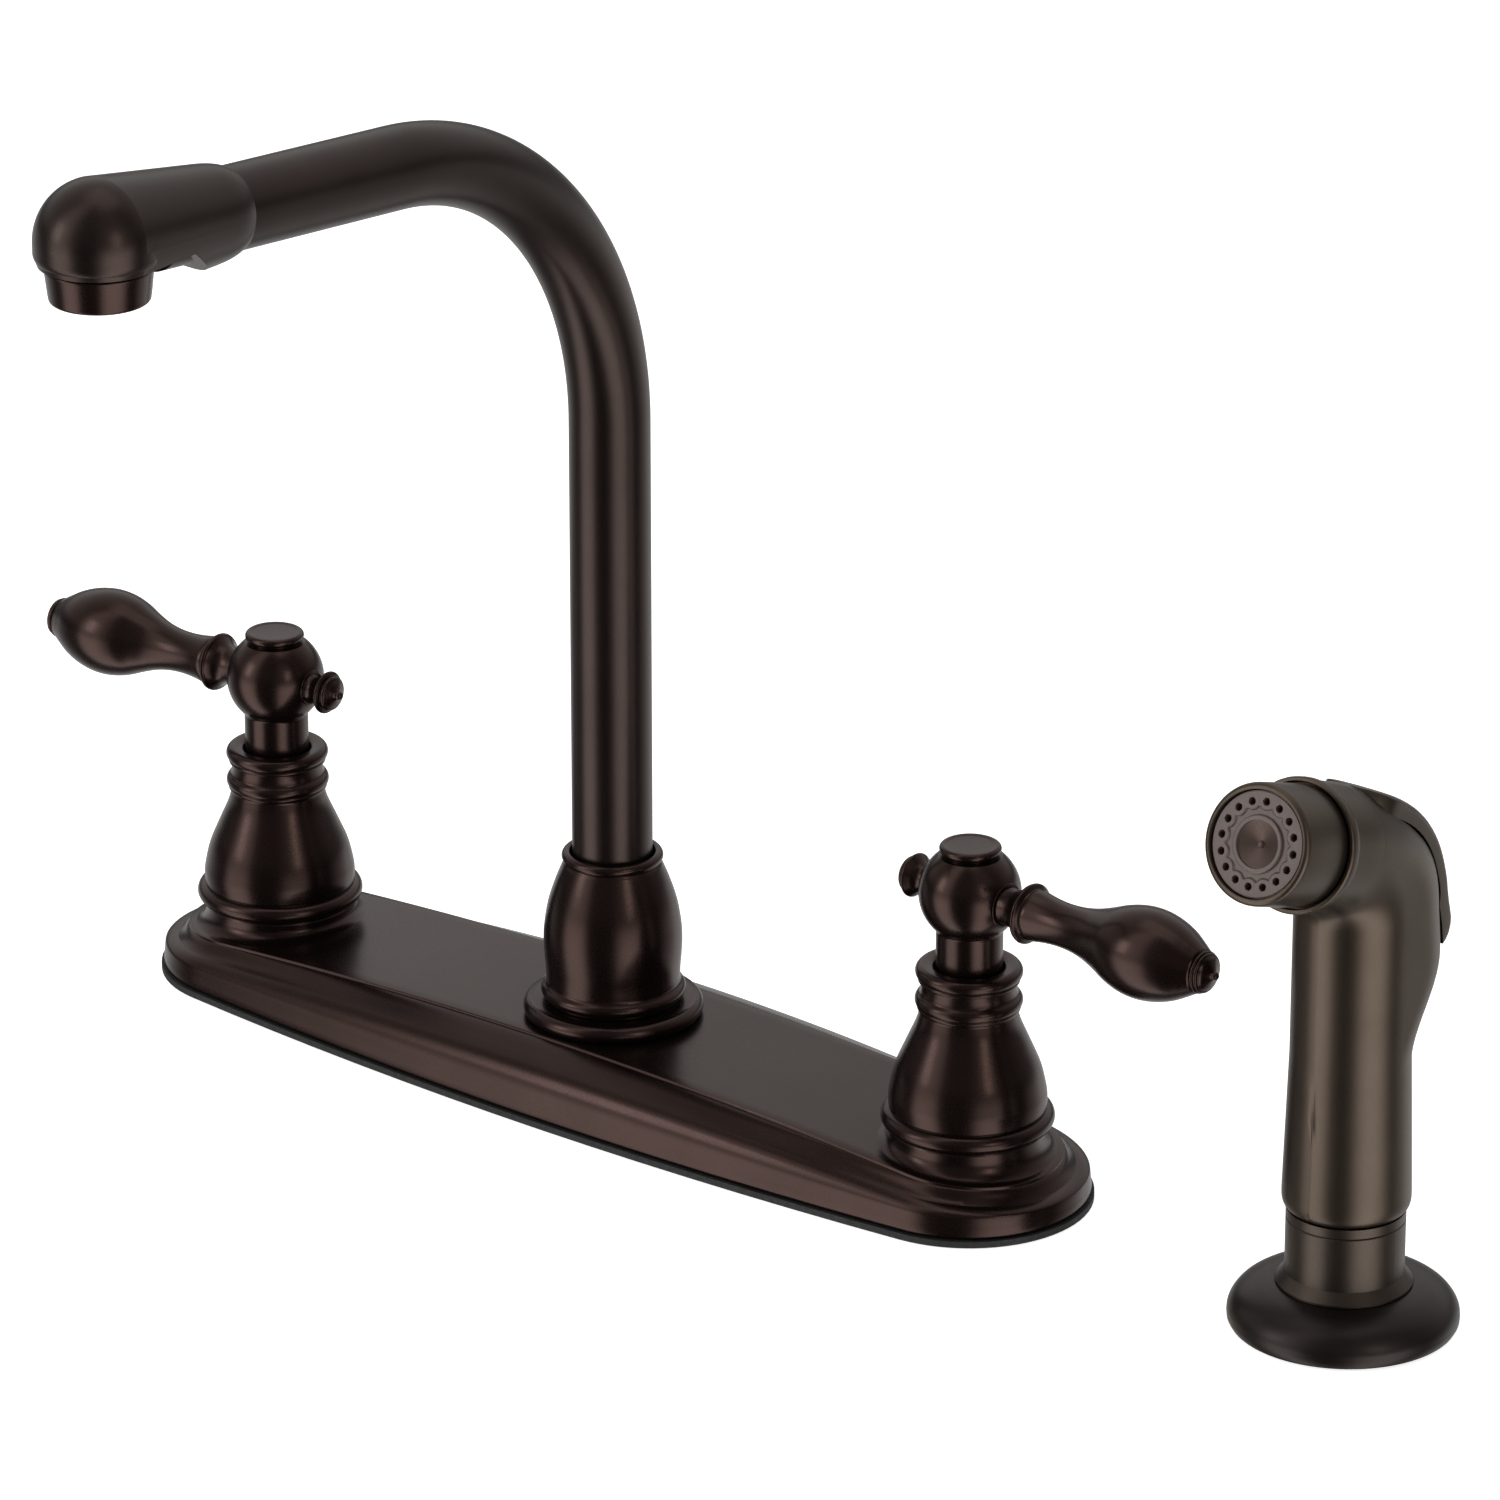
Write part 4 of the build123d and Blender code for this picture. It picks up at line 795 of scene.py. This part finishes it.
def sprayer_body():
    """Grip, elbow and head in one skin, with the pocket that the thumb lever sinks into."""
    rows = body_rows()
    count = len(rows[0][0])
    points = [point for row, opened in rows for point in row]
    faces = []
    caps = set(range(PAD_COLUMNS)) | set(range(count - PAD_COLUMNS, count))
    for i in range(len(rows) - 1):
        pocket = rows[i][1] and rows[i + 1][1]
        for k in range(count):
            if pocket and k in caps:
                continue
            n = (k + 1) % count
            low, high = i * count, (i + 1) * count
            faces.append((low + k, low + n, high + n, high + k))
    edge = []
    for i, (row, opened) in enumerate(rows):
        if opened:
            across = range(count - PAD_COLUMNS, count + PAD_COLUMNS + 1)
            edge.append([i * count + k % count for k in across])
    sunk = []
    for line in edge:
        ends = (points[line[0]] + points[line[-1]]) / 2
        outward = (points[line[PAD_COLUMNS]] - ends).normalized()
        sunk.append(range(len(points), len(points) + len(line)))
        points += [points[i] - outward * POCKET for i in line]
    for a, b in zip(sunk, sunk[1:]):
        for k in range(len(a) - 1):
            faces.append((a[k], a[k + 1], b[k + 1], b[k]))
    for i in range(len(edge) - 1):
        for k in (0, -1):
            faces.append((edge[i][k], edge[i + 1][k], sunk[i + 1][k], sunk[i][k]))
    for row, low in ((edge[0], sunk[0]), (edge[-1], sunk[-1])):
        for k in range(len(row) - 1):
            faces.append((row[k], row[k + 1], low[k + 1], low[k]))
    return piece(
        "sprayer_body_shell", points, faces, paint, "sprayer_body", "sprayer_plastic",
        ("sprayer_shell",), sharp=38,
    )


PAD_GAP = 0.22
PAD_ROUND = 3.1
# The thumb lever's thickness, and the rows of its tail: height and how far its rounding falls.
PAD_THICK = 4.6
TAIL_THICK = 5.4
TAIL = ((83.3, 3.4), (84.0, 2.2), (85.2, 1.1), (86.8, 0.35), (88.4, 0.0), (90.2, 0.0), (92.6, 0.0))


def thumb_pad():
    """The crowned thumb lever that runs over the elbow and stands proud at its tail."""
    rows = []

    def row(centre, to_back, reach, under, pad, crest):
        """A row's origin and direction, the reach of its top and bottom, half width and crown."""
        rows.append((centre, to_back, reach, under, pad - PAD_GAP, crest))

    def over_elbow(angle, pad):
        reach = along(PAD_REACH, angle)
        crest = min(max((62 - angle) / 20, 0.06), 1.0)
        row(FAN, away(angle), reach, reach - PAD_THICK, pad, crest)

    for z, fall in TAIL:
        reach = along(PAD_BACK, z)
        row(Vector((0, 0, z)), away(0), reach - fall, reach - TAIL_THICK, PAD, 1.0)
    for angle in range(0, TIP_START + 1, 3):
        over_elbow(angle, PAD)
    for share in TIP_SHARES:
        angle = TIP_START + 12.4 * share
        over_elbow(angle, PAD * math.sqrt(max(1 - ((angle - TIP_START) / PAD_TIP) ** 2, 0.01)))

    count = 25
    points, under_points = [], []
    for centre, to_back, reach, under, wide, crest in rows:
        for k in range(count):
            x = wide * math.sin(math.pi / 2 * (2 * k / (count - 1) - 1))
            over = max(abs(x) - (wide - PAD_ROUND), 0) / PAD_ROUND
            rounding = 1.9 * (1 - math.sqrt(max(1 - over * over, 0)))
            drop = crest * (rounding + 0.5 * (x / PAD) ** 2)
            across = Vector((SPRAYER + x, 0, 0)) + centre
            points.append(across + to_back * (reach - drop))
            under_points.append(across + to_back * under)
    faces = bands(len(rows), count, closed=False)
    base = len(points)
    points += under_points
    faces += [tuple(base + i for i in face) for face in faces]
    for j in range(len(rows) - 1):
        for k in (0, count - 1):
            a, b = j * count + k, (j + 1) * count + k
            faces.append((a, b, base + b, base + a))
    for j in (0, len(rows) - 1):
        for k in range(count - 1):
            a, b = j * count + k, j * count + k + 1
            faces.append((a, b, base + b, base + a))
    return piece(
        "thumb_pad", points, faces, paint_pad, "trigger", "sprayer_plastic", ("thumb_lever",),
        sharp=42,
    )


def nozzle():
    """Barrel of the nozzle with its rolled rim."""
    profile = [(3.5, -1.4), (11.2, -1.4), (11.2, -0.5), (12.55, -0.45), (12.85, -0.2)]
    profile += [(12.9, 0.3), (12.95, 7.0), (12.9, 13.7)]
    profile += arc(11.75, 13.9, 1.12, 5, 92, 10)
    profile += [(11.45, 14.9), (11.36, 14.6), (11.34, 11.9), (9.7, 11.9), (9.7, 4.0)]
    profile += [(3.5, 4.0), (3.5, -1.4)]
    made = turned(profile, NOZZLE, AHEAD, count=128)
    return piece(
        "nozzle_barrel", *made, paint, "sprayer_body", "sprayer_plastic", ("nozzle_ring",),
        sharp=36,
    )


HOLES = 16
HOLE = 0.78
HOLE_CIRCLE = 9.0
# The band about the holes is raised from its inner edge out, with a scallop round each hole.
BAND = 6.1
SCALLOP = 1.62
# The middle's raised rim and the shallow cone inside it, down to the small pin in its centre.
RIM = 5.0
PIN = 0.8
FACE_EDGE = 11.0
FACE_AT = 14.3
# Colour of the face's metal centre, darkened further as painted shade of the sunk cone.
CENTRE_METAL_AND_SHADE_COLOUR = (0.075, 0.052, 0.045)


def face_height(r, a):
    """Height of the spray face at a radius and an angle."""
    step = 2 * math.pi / HOLES
    off = (a + step / 2) % step - step / 2
    hole = math.hypot(r - HOLE_CIRCLE, r * off)
    if hole < HOLE:
        return -1.9
    if r > BAND:
        sunk = min(max((8.1 - r) / 0.35, 0), 1) * min(max((hole - SCALLOP) / 0.3, 0), 1)
        return -0.42 * sunk - (0.25 if r > FACE_EDGE else 0.0)
    if r > RIM:
        return 0.22 * min((6.15 - r) / 0.25, 1.0, (r - 4.95) / 0.2)
    if r < PIN:
        return -1.0 if r < 0.45 else -1.2
    return -0.35 - 1.35 * (1 - r / RIM)


def face():
    """Spray face: sixteen holes in a scalloped band, a raised rim and a shallow cone."""
    count = 384
    radii = [0.25, 0.42, 0.5, 0.62, 0.8, 1.2, 1.8, 2.6, 3.4, 4.2, 4.7, 4.9]
    radii += [5.0, 5.1, 5.3, 5.5, 5.7, 5.85, 5.95, 6.05, 6.2]
    radii += [6.3 + 0.11 * k for k in range(42)] + [10.95, 11.05, 11.12, 11.15]
    turn = AHEAD.to_track_quat("Z", "Y").to_matrix()
    points = []
    for r in radii:
        for k in range(count):
            a = 2 * math.pi * k / count
            height = FACE_AT + face_height(r, a)
            points.append(turn @ Vector((r * math.cos(a), r * math.sin(a), height)) + NOZZLE)
    faces = bands(len(radii), count)
    base = len(points)
    points.append(NOZZLE + AHEAD * (FACE_AT - 1.0))
    faces += [(k, (k + 1) % count, base) for k in range(count)]
    edge = base - count
    back = len(points)
    points += [point - AHEAD * 2.2 for point in points[edge:base]]
    for k in range(count):
        n = (k + 1) % count
        faces.append((edge + k, edge + n, back + n, back + k))
    faces.append(tuple(range(back, back + count)))
    # The centre's darker colour is partly its metal and partly painted shade of the cone.
    metal_centre_with_painted_shade(face_paint, NOZZLE * MM, AHEAD, RIM * MM, CENTRE_METAL_AND_SHADE_COLOUR)
    return piece(
        "face_disc", points, faces, face_paint, "sprayer_body", "spray_face_plastic",
        ("spray_face",), sharp=30,
    )


def pin():
    """The thumb lever's hinge pin, with rounded ends."""
    profile = [(0, -8.5), (1.1, -8.5), (1.45, -8.1), (1.45, 8.1), (1.1, 8.5), (0, 8.5)]
    made = turned(profile, (SPRAYER, 1.5, 116.9), (1, 0, 0), 32)
    return piece("hinge_pin", *made, steel, "sprayer_body", "steel", ("trigger_pin",))


sprayer_body()
thumb_pad()
pin()
nozzle()
face()


# ---------------------------------------------------------------- studio

def floor():
    """A plain pale floor, near white to the camera and kept out of the metal's reflections."""
    mesh = bpy.data.meshes.new("floor")
    half, below = 6.0, -0.0003
    corners = ((-half, -half), (half, -half), (half, half), (-half, half))
    mesh.from_pydata([(x, y, below) for x, y in corners], [], [(0, 1, 2, 3)])
    mat, bsdf = shader("floor_pale", (0.92, 0.92, 0.92), 0.0, 0.9)
    bsdf.inputs["Emission Color"].default_value = (1, 1, 1, 1)
    bsdf.inputs["Emission Strength"].default_value = 0.80
    tone = ramp(mat, noise(mat, 3.0), ((0.2, (0.90, 0.90, 0.90)), (0.8, (0.93, 0.93, 0.93))))
    link(mat, tone, bsdf.inputs["Base Color"])
    mesh.materials.append(mat)
    obj = bpy.data.objects.new("floor", mesh)
    bpy.context.scene.collection.objects.link(obj)
    obj.visible_glossy = False


floor()


# The studio's pale back, behind the object: its direction, and how bright it is above and below
# the horizon.
BEHIND = (-0.63, 0.78, 0)
BACK = 0.78
LOW_BACK = 0.6
UP = (0, 0, 1)
DOWN = (0, 0, -1)
# Upright strips of light that the metal mirrors: their direction (x, y), the cosines at which one
# starts and is full, its strength, and the share of it that is left above the horizon.
STRIPS = (
    (-0.454, -0.891, 0.90, 0.985, 2.80, 0.45),
    (0.939, -0.242, 0.80, 0.990, 2.80, 0.10),
    (0.438, 0.899, 0.85, 0.99, 0.60, 0.10),
)


def world():
    """White behind the object; in reflections a dim studio with strips of light and a pale back."""
    made = bpy.data.worlds.new("studio")
    made.use_nodes = True
    bpy.context.scene.world = made
    tree = made.node_tree
    tree.nodes.clear()
    new = tree.nodes.new
    join = tree.links.new
    coord = new("ShaderNodeTexCoord").outputs["Generated"]
    flatten = new("ShaderNodeVectorMath")
    flatten.operation = "MULTIPLY"
    flatten.inputs[1].default_value = (1, 1, 0)
    join(coord, flatten.inputs[0])
    level = new("ShaderNodeVectorMath")
    level.operation = "NORMALIZE"
    join(flatten.outputs["Vector"], level.inputs[0])

    def facing(source, direction, outer, inner, low, high):
        """Value that goes from low to high as a direction comes nearer to the given one."""
        dot = new("ShaderNodeVectorMath")
        dot.operation = "DOT_PRODUCT"
        dot.inputs[1].default_value = direction
        join(source, dot.inputs[0])
        fade = new("ShaderNodeMapRange")
        fade.interpolation_type = "SMOOTHSTEP"
        fade.inputs["From Min"].default_value = outer
        fade.inputs["From Max"].default_value = inner
        fade.inputs["To Min"].default_value = low
        fade.inputs["To Max"].default_value = high
        join(dot.outputs["Value"], fade.inputs["Value"])
        return fade.outputs["Result"]

    def combine(operation, a, b):
        term = new("ShaderNodeMath")
        term.operation = operation
        join(a, term.inputs[0])
        join(b, term.inputs[1])
        return term.outputs["Value"]

    above = facing(coord, UP, 0.02, 0.30, 0.0, 1.0)
    below = facing(coord, DOWN, 0.0, 0.15, 0.0, 1.0)
    total = combine("MULTIPLY", above, facing(coord, BEHIND, -0.35, 0.75, 0.10, BACK))
    low_back = combine("MULTIPLY", below, facing(coord, BEHIND, 0.05, 0.80, 0.0, LOW_BACK))
    total = combine("ADD", total, low_back)
    for x, y, outer, inner, strength, share in STRIPS:
        size = math.hypot(x, y)
        toward = (x / size, y / size, 0)
        strip = facing(level.outputs["Vector"], toward, outer, inner, 0.0, strength)
        strip = combine("MULTIPLY", strip, facing(coord, DOWN, -0.10, 0.20, share, 1.0))
        total = combine("ADD", total, strip)
    total = combine("ADD", total, facing(coord, UP, -1.0, 0.4, 0.030, 0.060))
    studio = new("ShaderNodeBackground")
    studio.inputs["Color"].default_value = (1.0, 0.985, 0.97, 1)
    join(total, studio.inputs["Strength"])
    white = new("ShaderNodeBackground")
    white.inputs["Color"].default_value = (1, 1, 1, 1)
    path = new("ShaderNodeLightPath")
    mix = new("ShaderNodeMixShader")
    out = new("ShaderNodeOutputWorld")
    join(path.outputs["Is Camera Ray"], mix.inputs["Fac"])
    join(studio.outputs["Background"], mix.inputs[1])
    join(white.outputs["Background"], mix.inputs[2])
    join(mix.outputs["Shader"], out.inputs["Surface"])


world()


def softbox(name, at, aim, width, height, power, colour=(1, 1, 1)):
    """A soft rectangular light at a place, turned to what it aims at; metres and watts."""
    data = bpy.data.lights.new(name, "AREA")
    data.shape = "RECTANGLE"
    data.size = width
    data.size_y = height
    data.energy = power
    data.color = colour
    obj = bpy.data.objects.new(name, data)
    obj.location = at
    obj.rotation_euler = (Vector(at) - Vector(aim)).to_track_quat("Z", "Y").to_euler()
    bpy.context.scene.collection.objects.link(obj)


softbox("left_box", (-0.95, -1.45, 0.75), (0.0, 0.0, 0.08), 0.45, 0.8, 4.0, (0.98, 0.98, 1.0))
softbox("right_box", (1.65, -0.55, 0.70), (0.05, 0.0, 0.08), 0.35, 0.7, 2.5, (1.0, 0.93, 0.86))
softbox("top_box", (0.0, 0.15, 1.7), (0.0, 0.0, 0.0), 1.2, 0.9, 3.0)

CAMERA_AT = (1.1331, -1.3514, 0.7942)
AZIMUTH = math.radians(38.97)
ELEVATION = math.radians(22.05)
LENS = 203.3

right = Vector((math.cos(AZIMUTH), math.sin(AZIMUTH), 0))
back = Vector((
    math.sin(AZIMUTH) * math.cos(ELEVATION),
    -math.cos(AZIMUTH) * math.cos(ELEVATION),
    math.sin(ELEVATION),
))
view = bpy.data.cameras.new("camera")
view.sensor_width = 36.0
view.lens = LENS
view.clip_end = 50
camera = bpy.data.objects.new("camera", view)
turn = Matrix((right, back.cross(right), back)).transposed().to_4x4()
camera.matrix_world = Matrix.Translation(CAMERA_AT) @ turn
bpy.context.scene.collection.objects.link(camera)
bpy.context.scene.camera = camera
bpy.context.scene.view_settings.view_transform = "Standard"
